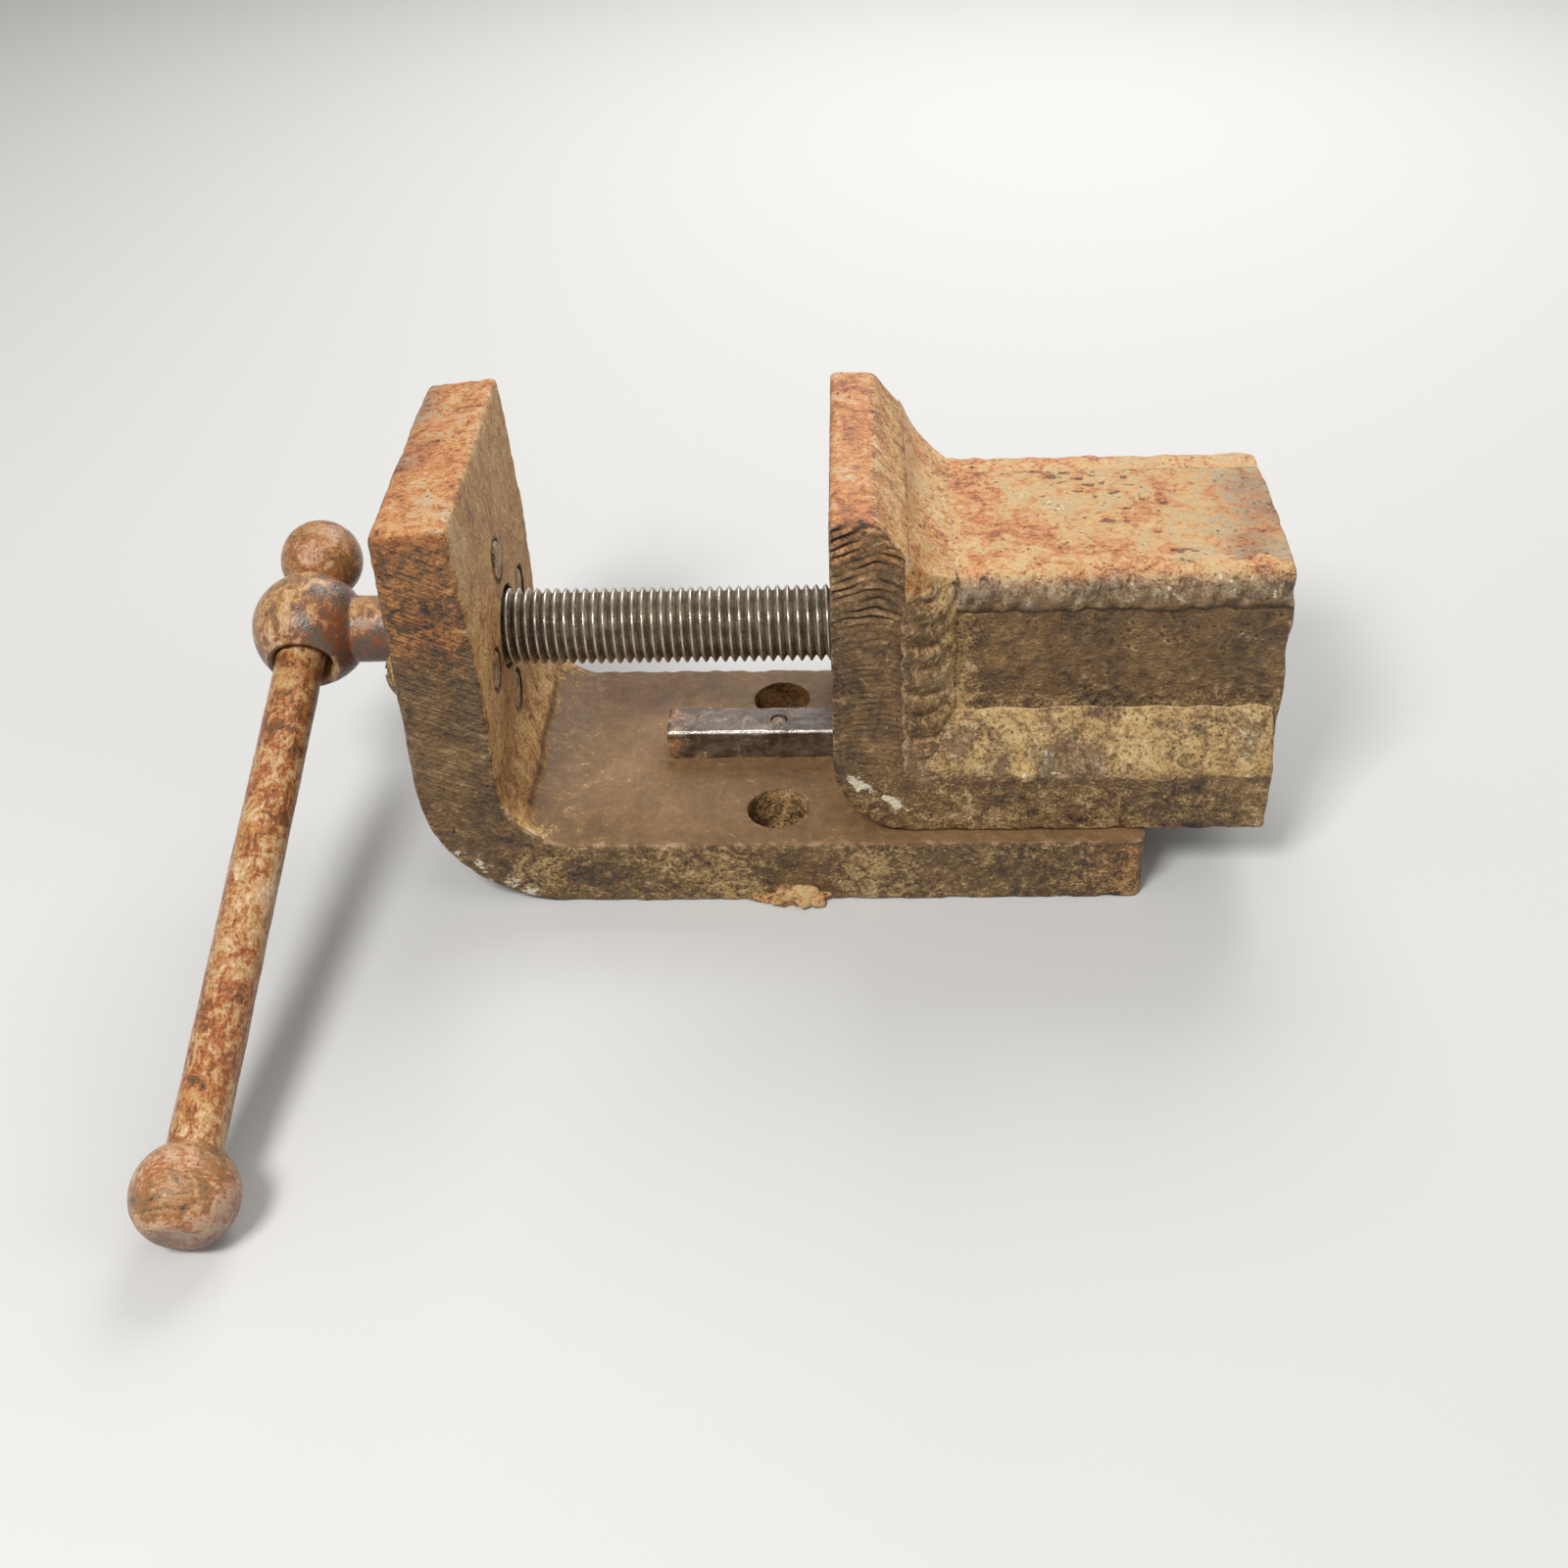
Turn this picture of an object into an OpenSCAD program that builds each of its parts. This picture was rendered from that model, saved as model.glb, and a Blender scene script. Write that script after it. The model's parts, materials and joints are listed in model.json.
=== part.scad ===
// Shop-made drill press vise: an L-bent bar base with its fixed jaw, and a welded moving jaw on a key.
// X runs along the screw towards the moving jaw, Y to the back, Z up, in millimetres.
// The origin is midway between the two table bolt holes, on the underside of the base.

/* [Base bar] */
// Width of the base bar, across the vise
base_w = 101.6; // [80:0.1:130]
// Thickness of the base leg
base_t = 24; // [18:0.1:32]
// Length of the base from the bolt holes to its free end
base_reach = 120.5; // [90:0.5:160]
// Distance from the bolt holes back to the fixed jaw's outer face
jaw_back = 115.4; // [100:0.1:140]
// Outer radius of the bend
bend_out_r = 48; // [36:1:56]
// Inner radius of the bend
bend_in_r = 24; // [14:1:26]
// Radius of the free end's upright corners
end_corner_r = 4; // [1:0.5:8]

/* [Fixed jaw] */
// Thickness of the fixed jaw where it grips
fixed_t = 27.2; // [22:0.1:32]
// Thickness of the fixed jaw at its top edge
fixed_top_t = 24; // [18:0.1:27]
// Height of the fixed jaw above the table
fixed_h = 143; // [130:0.5:160]
// Height at which the inner face starts to lean back
fixed_lean_z = 90; // [84:1:120]
// Fall of the top edge from its inner to its outer side
fixed_top_fall = 2.5; // [0:0.1:5]
// Rounding of the top outer edge
fixed_edge_r = 5; // [2:0.5:8]

/* [Table bolts] */
// Diameter of the two table bolt holes
bolt_d = 20; // [14:0.5:24]
// Distance between the two table bolt holes
bolt_spacing = 63.5; // [56:0.5:70]

/* [Guide key] */
// Width of the key
key_w = 14.6; // [10:0.1:18]
// Height of the key above the base
key_h = 11; // [8:0.5:13]
// Length of the key
key_len = 152.4; // [120:0.5:155]
// Distance from the bolt holes to the key's jaw end
key_start = 38.4; // [30:0.2:46]
// Offset of the key from the middle of the base
key_y = 3.7; // [-6:0.1:6]
// Clearance round the key in the foot's groove
key_gap = 0.3; // [0.2:0.05:0.6]
// Diameter of the key's rivets
rivet_d = 5; // [3:0.5:7]
// Depth of the rivets in the base
rivet_set = 14; // [8:0.5:16]
// Distance of each rivet from the key's end
rivet_inset = 38.4; // [20:0.2:50]

/* [Lead screw] */
// Height of the screw's axis above the table
screw_z = 77; // [74:0.5:82]
// Outside diameter of the thread
screw_d = 25.4; // [20:0.1:27]
// Pitch of the thread
screw_pitch = 3.175; // [2.5:0.025:4]
// Depth of the thread
thread_depth = 1.95; // [1.2:0.05:2.4]
// Length of screw that shows past the nut
screw_tail = 5; // [2:0.5:12]
// Radial running clearance of the screw in its nut and of its journal in the jaw
run_gap = 0.08; // [0.02:0.01:0.1]
// Diameter of the journal that turns in the fixed jaw
journal_d = 27.84; // [27.6:0.02:30]
// Depth of the journal's end inside the jaw's inner face
journal_inset = 3; // [1:0.5:6]
// Diameter of the thrust collar
collar_d = 36; // [32:0.5:38]
// Thickness of the thrust collar
collar_t = 5.8; // [4:0.2:9]
// Clearance on each side of the thrust collar, and round it
collar_gap = 0.2; // [0.1:0.05:0.5]

/* [Keeper] */
// Diameter of the keeper plate
keeper_d = 68; // [66:1:74]
// Thickness of the keeper plate
keeper_t = 4; // [3:0.5:8]
// Circle on which the keeper screws lie
keeper_pcd = 50.8; // [50:0.2:53]
// Shank diameter of the keeper screws
keeper_screw_d = 12.7; // [8:0.1:13]
// Clearance round each keeper screw
keeper_screw_gap = 0.15; // [0.05:0.05:0.4]
// Head diameter of the keeper screws
keeper_head_d = 18; // [14:0.1:20]
// Head height of the keeper screws
keeper_head_h = 5; // [4:0.2:8]
// Width of the driver slot in each head
keeper_slot_w = 2; // [1:0.1:3]

/* [Screw head] */
// Diameter of the ball head
ball_d = 38; // [34:0.5:44]
// Distance from the fixed jaw's outer face to the ball's centre
ball_reach = 39.2; // [36:0.2:48]
// Diameter of the neck
neck_d = 22; // [18:0.2:24]
// Clearance of the neck in the keeper plate
neck_gap = 0.3; // [0.1:0.05:0.6]
// Diameter of the spigot inside the neck
spigot_d = 14; // [10:0.2:15]
// Length of the spigot
spigot_len = 23; // [16:0.5:23.5]
// Diameter of the head pin
pin_d = 5; // [3:0.2:6]
// Distance of the head pin outside the keeper plate
pin_out = 6; // [4:0.2:8]
// Clearance of pieces that are fitted tight in one another
seat_gap = 0.02; // [0.01:0.01:0.05]

/* [Handle] */
// Diameter of the handle bar
bar_d = 15.7; // [12:0.1:17]
// Clearance of the bar in the ball's cross hole
bar_gap = 1.6; // [0.4:0.05:2.4]
// Rounding of the cross hole's mouths
mouth_r = 1.6; // [0.8:0.1:2]
// Angle by which the cross hole leans from square to the screw
bar_skew = 0.7; // [0:0.1:3]
// Distance from the ball's centre to the long end's knob
bar_reach = 198; // [170:1:230]
// Distance from the ball's centre to the short end's knob as the handle rests
short_reach = 30; // [28:0.5:60]
// Depth of the bar's ends in the knobs
bar_set = 16; // [10:0.5:20]
// Diameter of the long end's knob
long_knob_d = 30; // [26:0.5:34]
// Length of the long end's knob
long_knob_len = 25; // [20:0.5:25.5]
// Diameter of the short end's knob
short_knob_d = 27.5; // [25:0.5:32]
// Length of the short end's knob
short_knob_len = 22.4; // [18:0.2:22.5]
// Clearance of the resting handle from its hole's side and from the table
rest_gap = 0.3; // [0.2:0.05:0.6]

/* [Moving jaw] */
// Opening between the jaws as they stand
opening = 107.4; // [90:0.2:112]
// Width of the moving jaw
jaw_w = 101.6; // [90:0.1:120]
// Offset of the moving jaw from the middle of the base
jaw_y = 5.8; // [0:0.1:8]
// Thickness of the moving jaw's upright
jaw_t = 24.2; // [18:0.1:30]
// Height of the moving jaw above its foot's underside
jaw_h = 115.4; // [108:0.2:130]
// Length of the moving jaw's foot from its face
foot_len = 139.7; // [125:0.1:160]
// Thickness of the foot
foot_t = 22.4; // [18:0.1:24]
// Outer radius of the moving jaw's bend
jaw_bend_r = 27.5; // [26:0.5:32]
// Flat land on top of the moving jaw
jaw_land = 13.9; // [10:0.1:18]
// Height of the chamfer on the moving jaw's back
jaw_chamfer_h = 12.2; // [8:0.1:13]
// Running clearance under the foot
foot_gap = 0.2; // [0.1:0.05:0.4]
// Clearance of the screw in the moving jaw
jaw_hole_gap = 0.8; // [0.4:0.1:1.5]

/* [Housing] */
// Width of the welded housing
housing_w = 78.7; // [74:0.1:84]
// Height of the housing's top above the table
housing_z = 113; // [110:0.2:118]
// Length of the housing past the foot's end
housing_over = 2.6; // [0:0.1:6]
// Thickness of the housing's plates
plate_t = 9.5; // [6:0.1:9.8]
// Width across the nut's flats
nut_af = 38.1; // [34:0.1:40]
// Thickness of the nut
nut_t = 21.8; // [16:0.1:26]
// Leg of the nut's welds
nut_weld_leg = 5; // [3:0.2:6]
// Share of the nut's flat that is welded
nut_weld_part = 0.8; // [0.5:0.05:0.95]

/* [Welds] */
// Leg of the upright corner welds along the housing's side
corner_weld_leg = 13.5; // [8:0.2:16]
// Depth of the corner welds' tops below the housing's top
corner_weld_drop = 3; // [1:0.2:8]
// Height of the foot welds on the housing's side
foot_weld_leg = 18; // [10:0.2:22]
// Leg of the top weld along the housing's top
top_weld_leg = 13; // [8:0.2:18]
// Length of the tack weld along the base
tack_len = 19.7; // [12:0.2:26]
// How far the tack weld stands out of the base
tack_out = 4; // [2:0.2:6]
// Offset of the tack weld from the bolt holes
tack_x = 6.9; // [-20:0.2:20]

/* [Hidden] */
$fn = 64;
bite = 1;                                       // overshoot of cuts past a face
outer_x = -jaw_back;
face_x = outer_x + fixed_t;
jaw_x = face_x + opening;
jaw_back_x = jaw_x + jaw_t;
foot_end_x = jaw_x + foot_len;
housing_end_x = foot_end_x + housing_over;
foot_z = base_t + foot_gap;
foot_top_z = foot_z + foot_t;
jaw_top_z = foot_z + jaw_h;
key_z = base_t + key_h;
side_top_z = housing_z - plate_t;
side_inset = (jaw_w - housing_w) / 2;
housing_len = housing_end_x - jaw_back_x;
weld_len = foot_end_x - jaw_back_x;

collar_x = outer_x + collar_gap;                // outer face of the thrust collar
journal_x = collar_x + collar_t;
counterbore_t = collar_t + 2 * collar_gap;
thread_x = face_x - journal_inset;              // where the journal ends
nut_x = jaw_back_x;
screw_end_x = nut_x + nut_t + screw_tail;
screw_r = screw_d / 2;
root_r = screw_r - thread_depth;
thread_count = floor((screw_end_x - thread_x) / screw_pitch) - 1;
crest_w = screw_pitch / 8;
root_w = screw_pitch / 4;
flank_w = (screw_pitch - crest_w - root_w) / 2;

ball_x = outer_x - ball_reach;
pin_x = outer_x - keeper_t - pin_out;
bar_r = bar_d / 2;
cross_r = bar_r + bar_gap;
bar_lie = bar_gap - rest_gap;                   // the bar lies against its hole's outer side
knob_low = long_knob_d / 2 + rest_gap;          // height of the long end's knob above the table
bar_drop = asin((screw_z - knob_low) / bar_reach);
long_end = bar_reach - long_knob_len / 2 + bar_set;
short_end = short_reach - short_knob_len / 2 + bar_set;
tack_r = (pow(tack_len / 2, 2) + pow(tack_out, 2)) / (2 * tack_out);

// Shared shapes

// An outline drawn in X and Z, made a bar of width w about the plane y
module across(w, y = 0) {
    translate([0, y, 0]) rotate([90, 0, 0]) linear_extrude(height = w, center = true) children();
}

// Children modelled along Z about the screw's axis, starting at the place x
module on_screw(x) {
    translate([x, 0, screw_z]) rotate([0, 90, 0]) children();
}

// Children modelled along Z about the cross hole's axis, with the ball's centre at zero
module on_cross_hole() {
    translate([ball_x, 0, screw_z]) rotate([0, 0, -bar_skew]) rotate([bar_drop - 90, 0, 0]) children();
}

// Children modelled along Z about the handle's axis
module on_handle() {
    on_cross_hole() translate([-bar_lie, 0, 0]) children();
}

// The waste outside a round corner of radius r whose sharp corner is at zero
module round_waste(r) {
    difference() {
        translate([-bite, -bite]) square(r + bite);
        translate([r, r]) circle(r);
    }
}

// A straight fillet weld along X: leg_y runs back from the corner line and leg_z up
module fillet_weld(len, leg_y, leg_z) {
    rotate([90, 0, 90]) linear_extrude(height = len) polygon([[0, 0], [leg_y, 0], [0, leg_z]]);
}

// The places of the keeper screws round the lead screw
module at_keeper_screws(x) {
    for (turn = [0 : 90 : 270])
        on_screw(x) rotate([0, 0, turn]) translate([keeper_pcd / 2, 0, 0]) children();
}

// The places of the rivets along the key
module at_rivets(z) {
    for (x = [-key_start + rivet_inset, -key_start + key_len - rivet_inset])
        translate([x, key_y, z]) children();
}

// Everything that belongs to the moving jaw's rear half is the mirror image of its front half
module to_rear() {
    translate([0, jaw_y, 0]) mirror([0, 1, 0]) translate([0, -jaw_y, 0]) children();
}

// Fixed side

module base_outline() {
    difference() {
        polygon([[outer_x, 0], [base_reach, 0], [base_reach, base_t], [face_x + bend_in_r, base_t],
                 [face_x + bend_in_r, base_t + bend_in_r], [face_x, base_t + bend_in_r],
                 [face_x, fixed_lean_z], [outer_x + fixed_top_t, fixed_h],
                 [outer_x, fixed_h - fixed_top_fall]]);
        translate([face_x + bend_in_r, base_t + bend_in_r]) circle(bend_in_r);
        translate([outer_x, 0]) round_waste(bend_out_r);
        translate([outer_x, fixed_h - fixed_top_fall]) mirror([0, 1]) round_waste(fixed_edge_r);
    }
}

module base_frame() color("sienna") difference() {
    across(base_w) base_outline();
    for (side = [-1, 1])
        translate([0, side * bolt_spacing / 2, -bite]) cylinder(d = bolt_d, h = base_t + 2 * bite);
    for (side = [0, 1])
        mirror([0, side, 0]) translate([base_reach, -base_w / 2, -bite]) mirror([1, 0, 0])
            linear_extrude(height = base_t + 2 * bite) round_waste(end_corner_r);
    on_screw(outer_x - bite) cylinder(d = journal_d + 2 * run_gap, h = fixed_t + 2 * bite);
    on_screw(outer_x - bite) cylinder(d = collar_d + 2 * collar_gap, h = counterbore_t + bite);
    at_keeper_screws(outer_x - bite)
        cylinder(d = keeper_screw_d + 2 * keeper_screw_gap, h = fixed_t + 2 * bite);
    at_rivets(base_t - rivet_set) cylinder(d = rivet_d + 2 * seat_gap, h = rivet_set + bite);
}

module guide_key() color("dimgray") difference() {
    translate([-key_start, key_y - key_w / 2, base_t]) cube([key_len, key_w, key_h]);
    at_rivets(base_t - bite) cylinder(d = rivet_d + 2 * seat_gap, h = key_h + 2 * bite);
}

module key_rivets() color("darkslategray") at_rivets(base_t - rivet_set)
    cylinder(d = rivet_d, h = rivet_set + key_h);

module keeper_plate() color("saddlebrown") difference() {
    on_screw(outer_x - keeper_t) cylinder(d = keeper_d, h = keeper_t);
    on_screw(outer_x - keeper_t - bite) cylinder(d = neck_d + 2 * neck_gap, h = keeper_t + 2 * bite);
    at_keeper_screws(outer_x - keeper_t - bite)
        cylinder(d = keeper_screw_d + 2 * keeper_screw_gap, h = keeper_t + 2 * bite);
}

module keeper_screws() color("slategray") at_keeper_screws(outer_x - keeper_t) keeper_screw();

// One screw along Z: its round slotted head hangs below zero and its end is flush with the inner face
module keeper_screw() {
    dome_r = (pow(keeper_head_d / 2, 2) + pow(keeper_head_h, 2)) / (2 * keeper_head_h);
    cylinder(d = keeper_screw_d, h = keeper_t + fixed_t);
    difference() {
        rotate_extrude() intersection() {
            translate([0, dome_r - keeper_head_h]) circle(dome_r);
            translate([0, -keeper_head_h]) square([keeper_head_d / 2, keeper_head_h]);
        }
        translate([-keeper_head_d / 2, -keeper_slot_w / 2, -keeper_head_h - bite])
            cube([keeper_head_d, keeper_slot_w, keeper_head_h / 3 + bite]);
    }
}

module tack_weld() color("rosybrown") intersection() {
    translate([tack_x, tack_r - tack_out - base_w / 2, 0]) sphere(tack_r);
    translate([tack_x - tack_len, -base_w / 2 - 2 * tack_out, 0])
        cube([2 * tack_len, 2 * tack_out, base_t]);
}

// Turning screw

// Half outline of one thread whose crest starts at x: crest, flank, root and flank
function thread_turn(x) = [
    [screw_r, x],
    [screw_r, x + crest_w],
    [root_r, x + crest_w + flank_w],
    [root_r, x + crest_w + flank_w + root_w]
];

module lead_screw() color("gray") difference() {
    on_screw(0) rotate_extrude() polygon(concat(
        [[0, collar_x - spigot_len], [spigot_d / 2, collar_x - spigot_len], [spigot_d / 2, collar_x],
         [collar_d / 2, collar_x], [collar_d / 2, journal_x], [journal_d / 2, journal_x],
         [journal_d / 2, thread_x], [root_r, thread_x], [root_r, thread_x + root_w]],
        [for (i = [0 : thread_count - 1])
            each thread_turn(thread_x + root_w + flank_w + i * screw_pitch)],
        [[root_r, screw_end_x], [0, screw_end_x]]));
    translate([pin_x, 0, screw_z - neck_d]) cylinder(d = pin_d + 2 * seat_gap, h = 2 * neck_d);
}

module screw_head() color("maroon") difference() {
    union() {
        translate([ball_x, 0, screw_z]) sphere(d = ball_d);
        on_screw(ball_x) cylinder(d = neck_d, h = collar_x - ball_x);
    }
    on_screw(collar_x - spigot_len - seat_gap)
        cylinder(d = spigot_d + 2 * seat_gap, h = spigot_len + seat_gap + bite);
    translate([pin_x, 0, screw_z - neck_d]) cylinder(d = pin_d + 2 * seat_gap, h = 2 * neck_d);
    on_cross_hole() cross_hole();
}

// The handle's hole with its rounded mouths, along Z
module cross_hole() {
    mouth_at = sqrt(pow(ball_d / 2, 2) - pow(cross_r + mouth_r, 2)) - mouth_r;
    translate([0, 0, -ball_d]) cylinder(r = cross_r, h = 2 * ball_d);
    for (side = [0, 1])
        mirror([0, 0, side]) translate([0, 0, mouth_at]) rotate_extrude() difference() {
            square([cross_r + mouth_r, 2 * mouth_r]);
            translate([cross_r + mouth_r, 0]) circle(mouth_r);
        }
}

module head_pin() color("dimgray") translate([pin_x, 0, screw_z]) intersection() {
    cylinder(d = pin_d, h = 2 * neck_d, center = true);
    rotate([0, 90, 0]) cylinder(d = neck_d, h = neck_d, center = true);
}

// Handle

module handle_bar() color("peru") on_handle() translate([0, 0, -long_end])
    cylinder(d = bar_d, h = long_end + short_end);

// A ball knob with flat ends, bored from above for the bar's end
module knob(d, len) {
    rotate_extrude() difference() {
        intersection() {
            circle(d = d);
            translate([0, -len / 2]) square([d, len]);
        }
        translate([-d, len / 2 - bar_set - seat_gap]) square([d + bar_r + seat_gap, d]);
    }
}

module knob_long_end() color("sandybrown") on_handle() translate([0, 0, -bar_reach])
    knob(long_knob_d, long_knob_len);

module knob_short_end() color("sandybrown") on_handle() translate([0, 0, short_reach]) mirror([0, 0, 1])
    knob(short_knob_d, short_knob_len);

// Moving jaw

module jaw_outline() {
    difference() {
        polygon([[jaw_x, foot_z], [foot_end_x, foot_z], [foot_end_x, foot_top_z],
                 [jaw_back_x, foot_top_z], [jaw_back_x, jaw_top_z - jaw_chamfer_h],
                 [jaw_x + jaw_land, jaw_top_z], [jaw_x, jaw_top_z]]);
        translate([jaw_x, foot_z]) round_waste(jaw_bend_r);
    }
}

module jaw_plate() color("brown") difference() {
    across(jaw_w, jaw_y) jaw_outline();
    translate([jaw_x - bite, key_y - key_w / 2 - key_gap, foot_z - bite])
        cube([foot_len + 2 * bite, key_w + 2 * key_gap, key_z + key_gap - foot_z + bite]);
    on_screw(jaw_x - bite) cylinder(d = screw_d + 2 * jaw_hole_gap, h = jaw_t + 2 * bite);
}

module side_plate_front() color("darkolivegreen")
    translate([jaw_back_x, jaw_y - housing_w / 2, foot_top_z])
        cube([housing_len, plate_t, side_top_z - foot_top_z]);

module side_plate_rear() color("olivedrab")
    translate([jaw_back_x, jaw_y + housing_w / 2 - plate_t, foot_top_z])
        cube([housing_len, plate_t, side_top_z - foot_top_z]);

module top_plate() color("chocolate")
    translate([jaw_back_x, jaw_y - housing_w / 2 + plate_t, side_top_z])
        cube([housing_len, housing_w - 2 * plate_t, plate_t]);

module jaw_nut() color("goldenrod") difference() {
    on_screw(nut_x) rotate([0, 0, 30]) cylinder(d = nut_af / cos(30), h = nut_t, $fn = 6);
    on_screw(nut_x - bite) cylinder(d = screw_d + 2 * run_gap, h = nut_t + 2 * bite);
}

module nut_welds() color("rosybrown") {
    weld_w = nut_weld_part * nut_af * tan(30);
    for (side = [0, 1])
        translate([nut_x, 0, screw_z]) mirror([0, 0, side]) translate([0, 0, nut_af / 2])
            across(weld_w) polygon([[0, 0], [nut_weld_leg, 0], [0, nut_weld_leg]]);
}

module corner_weld_front() color("rosybrown")
    translate([jaw_back_x, jaw_y - housing_w / 2, foot_top_z])
        linear_extrude(height = housing_z - corner_weld_drop - foot_top_z)
            polygon([[0, 0], [0, -side_inset], [corner_weld_leg, 0]]);

module corner_weld_rear() color("rosybrown") to_rear() corner_weld_front();

module foot_weld_front() color("tan") difference() {
    translate([jaw_back_x, jaw_y - housing_w / 2, foot_top_z])
        mirror([0, 1, 0]) fillet_weld(weld_len, side_inset, foot_weld_leg);
    corner_weld_front();
}

module foot_weld_rear() color("tan") to_rear() foot_weld_front();

module seam_weld_front() color("plum") translate([jaw_back_x, jaw_y - housing_w / 2 + plate_t, side_top_z])
    intersection() {
        rotate([0, 90, 0]) cylinder(r = plate_t, h = housing_len);
        translate([0, -plate_t - bite, 0]) cube([housing_len, plate_t + bite, plate_t + bite]);
    }

module seam_weld_rear() color("plum") to_rear() seam_weld_front();

module jaw_top_weld() color("thistle")
    translate([jaw_back_x, 0, housing_z]) across(housing_w, jaw_y)
        polygon([[0, 0], [top_weld_leg, 0], [0, jaw_top_z - jaw_chamfer_h - housing_z]]);

base_frame();
guide_key();
key_rivets();
keeper_plate();
keeper_screws();
tack_weld();
lead_screw();
screw_head();
head_pin();
handle_bar();
knob_long_end();
knob_short_end();
jaw_plate();
side_plate_front();
side_plate_rear();
top_plate();
jaw_nut();
nut_welds();
corner_weld_front();
corner_weld_rear();
foot_weld_front();
foot_weld_rear();
seam_weld_front();
seam_weld_rear();
jaw_top_weld();
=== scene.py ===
"""Rusted drill press vise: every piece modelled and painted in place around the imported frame."""

import json
import math

import bmesh
import bpy
import numpy as np
from bpy.props import FloatProperty, FloatVectorProperty, PointerProperty
from bpy.types import Operator, Panel, PropertyGroup
from mathutils import Euler, Matrix, Vector, noise


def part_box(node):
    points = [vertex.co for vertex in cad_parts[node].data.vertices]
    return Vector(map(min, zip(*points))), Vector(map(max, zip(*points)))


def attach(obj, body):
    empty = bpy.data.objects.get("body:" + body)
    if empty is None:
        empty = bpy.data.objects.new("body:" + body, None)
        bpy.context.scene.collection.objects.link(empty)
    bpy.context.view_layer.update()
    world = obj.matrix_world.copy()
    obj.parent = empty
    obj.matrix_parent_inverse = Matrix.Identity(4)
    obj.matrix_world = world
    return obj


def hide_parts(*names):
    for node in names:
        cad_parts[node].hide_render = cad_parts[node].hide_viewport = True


bl_info = {
    "name": "Rusted Drill Press Vise",
    "version": (1, 0, 0),
    "blender": (4, 5, 0),
    "location": "View3D > Sidebar > Vise",
    "description": "Models a rusted vise around its packed frame, with its finishes and its stage",
    "category": "Object",
}

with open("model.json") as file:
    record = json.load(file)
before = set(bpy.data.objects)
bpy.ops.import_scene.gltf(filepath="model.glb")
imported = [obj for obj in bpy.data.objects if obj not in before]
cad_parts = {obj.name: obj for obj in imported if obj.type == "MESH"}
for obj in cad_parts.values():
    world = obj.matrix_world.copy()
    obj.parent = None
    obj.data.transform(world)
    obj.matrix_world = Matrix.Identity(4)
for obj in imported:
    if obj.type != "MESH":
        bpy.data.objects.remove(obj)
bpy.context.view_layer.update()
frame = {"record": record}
MM = 0.001

RECORD = frame["record"]
BODY_OF = {node: body for body, nodes in RECORD["behaviour"]["bodies"].items() for node in nodes}
JOINTS = {joint["name"]: joint for joint in RECORD["behaviour"]["joints"]}


# Sizes and places read from the frame

def box_of(node):
    """The lowest and highest corner of a node, as vectors."""
    low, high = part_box(node)
    return Vector(low), Vector(high)


BASE_LOW, BASE_HIGH = box_of("base_frame")
KEY_LOW, KEY_HIGH = box_of("guide_key")
JAW_LOW, JAW_HIGH = box_of("jaw_plate")
TOP_LOW, TOP_HIGH = box_of("top_plate")
HOUSING_FRONT = box_of("side_plate_front")[0].y
HOUSING_REAR = box_of("side_plate_rear")[1].y
HEAD_LOW, HEAD_HIGH = box_of("screw_head")
SCREW_LOW, SCREW_HIGH = box_of("lead_screw")
KEEPER_LOW, KEEPER_HIGH = box_of("keeper_plate")
KEEPER_SCREW_LOW, KEEPER_SCREW_HIGH = box_of("keeper_screws")
NUT_LOW, NUT_HIGH = box_of("jaw_nut")
PIN_LOW, PIN_HIGH = box_of("head_pin")
SCREW_Z = JOINTS["screw_turn"]["pos_m"][2]
HANDLE_AXIS = Vector(JOINTS["handle_slide"]["axis"]).normalized()
PLATE_THICKNESS = TOP_HIGH.z - TOP_LOW.z
ALONG_SCREW = Vector((1, 0, 0))
UPWARD = Vector((0, 0, 1))
BACKWARD = Vector((0, 1, 0))
CRISP = math.radians(35)
SMOOTH = math.radians(50)
SENSOR_WIDTH = 36


def on_screw(x):
    """A point on the lead screw's axis."""
    return Vector((x, 0, SCREW_Z))


# What a user would change

def length(name, description, millimetres):
    """A length property whose default is given in millimetres."""
    return FloatProperty(name=name, description=description, default=millimetres * MM, unit="LENGTH",
                         precision=5)


def power(name, description, watts):
    """A lamp's power."""
    return FloatProperty(name=name, description=description, default=watts, unit="POWER")


def paint(name, description, red, green, blue):
    """A colour property whose default is given as the eye reads it, from 0 to 255."""
    shades = [((value / 255 + 0.055) / 1.055) ** 2.4 for value in (red, green, blue)]
    return FloatVectorProperty(name=name, description=description, default=shades, size=3, subtype="COLOR")


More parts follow.
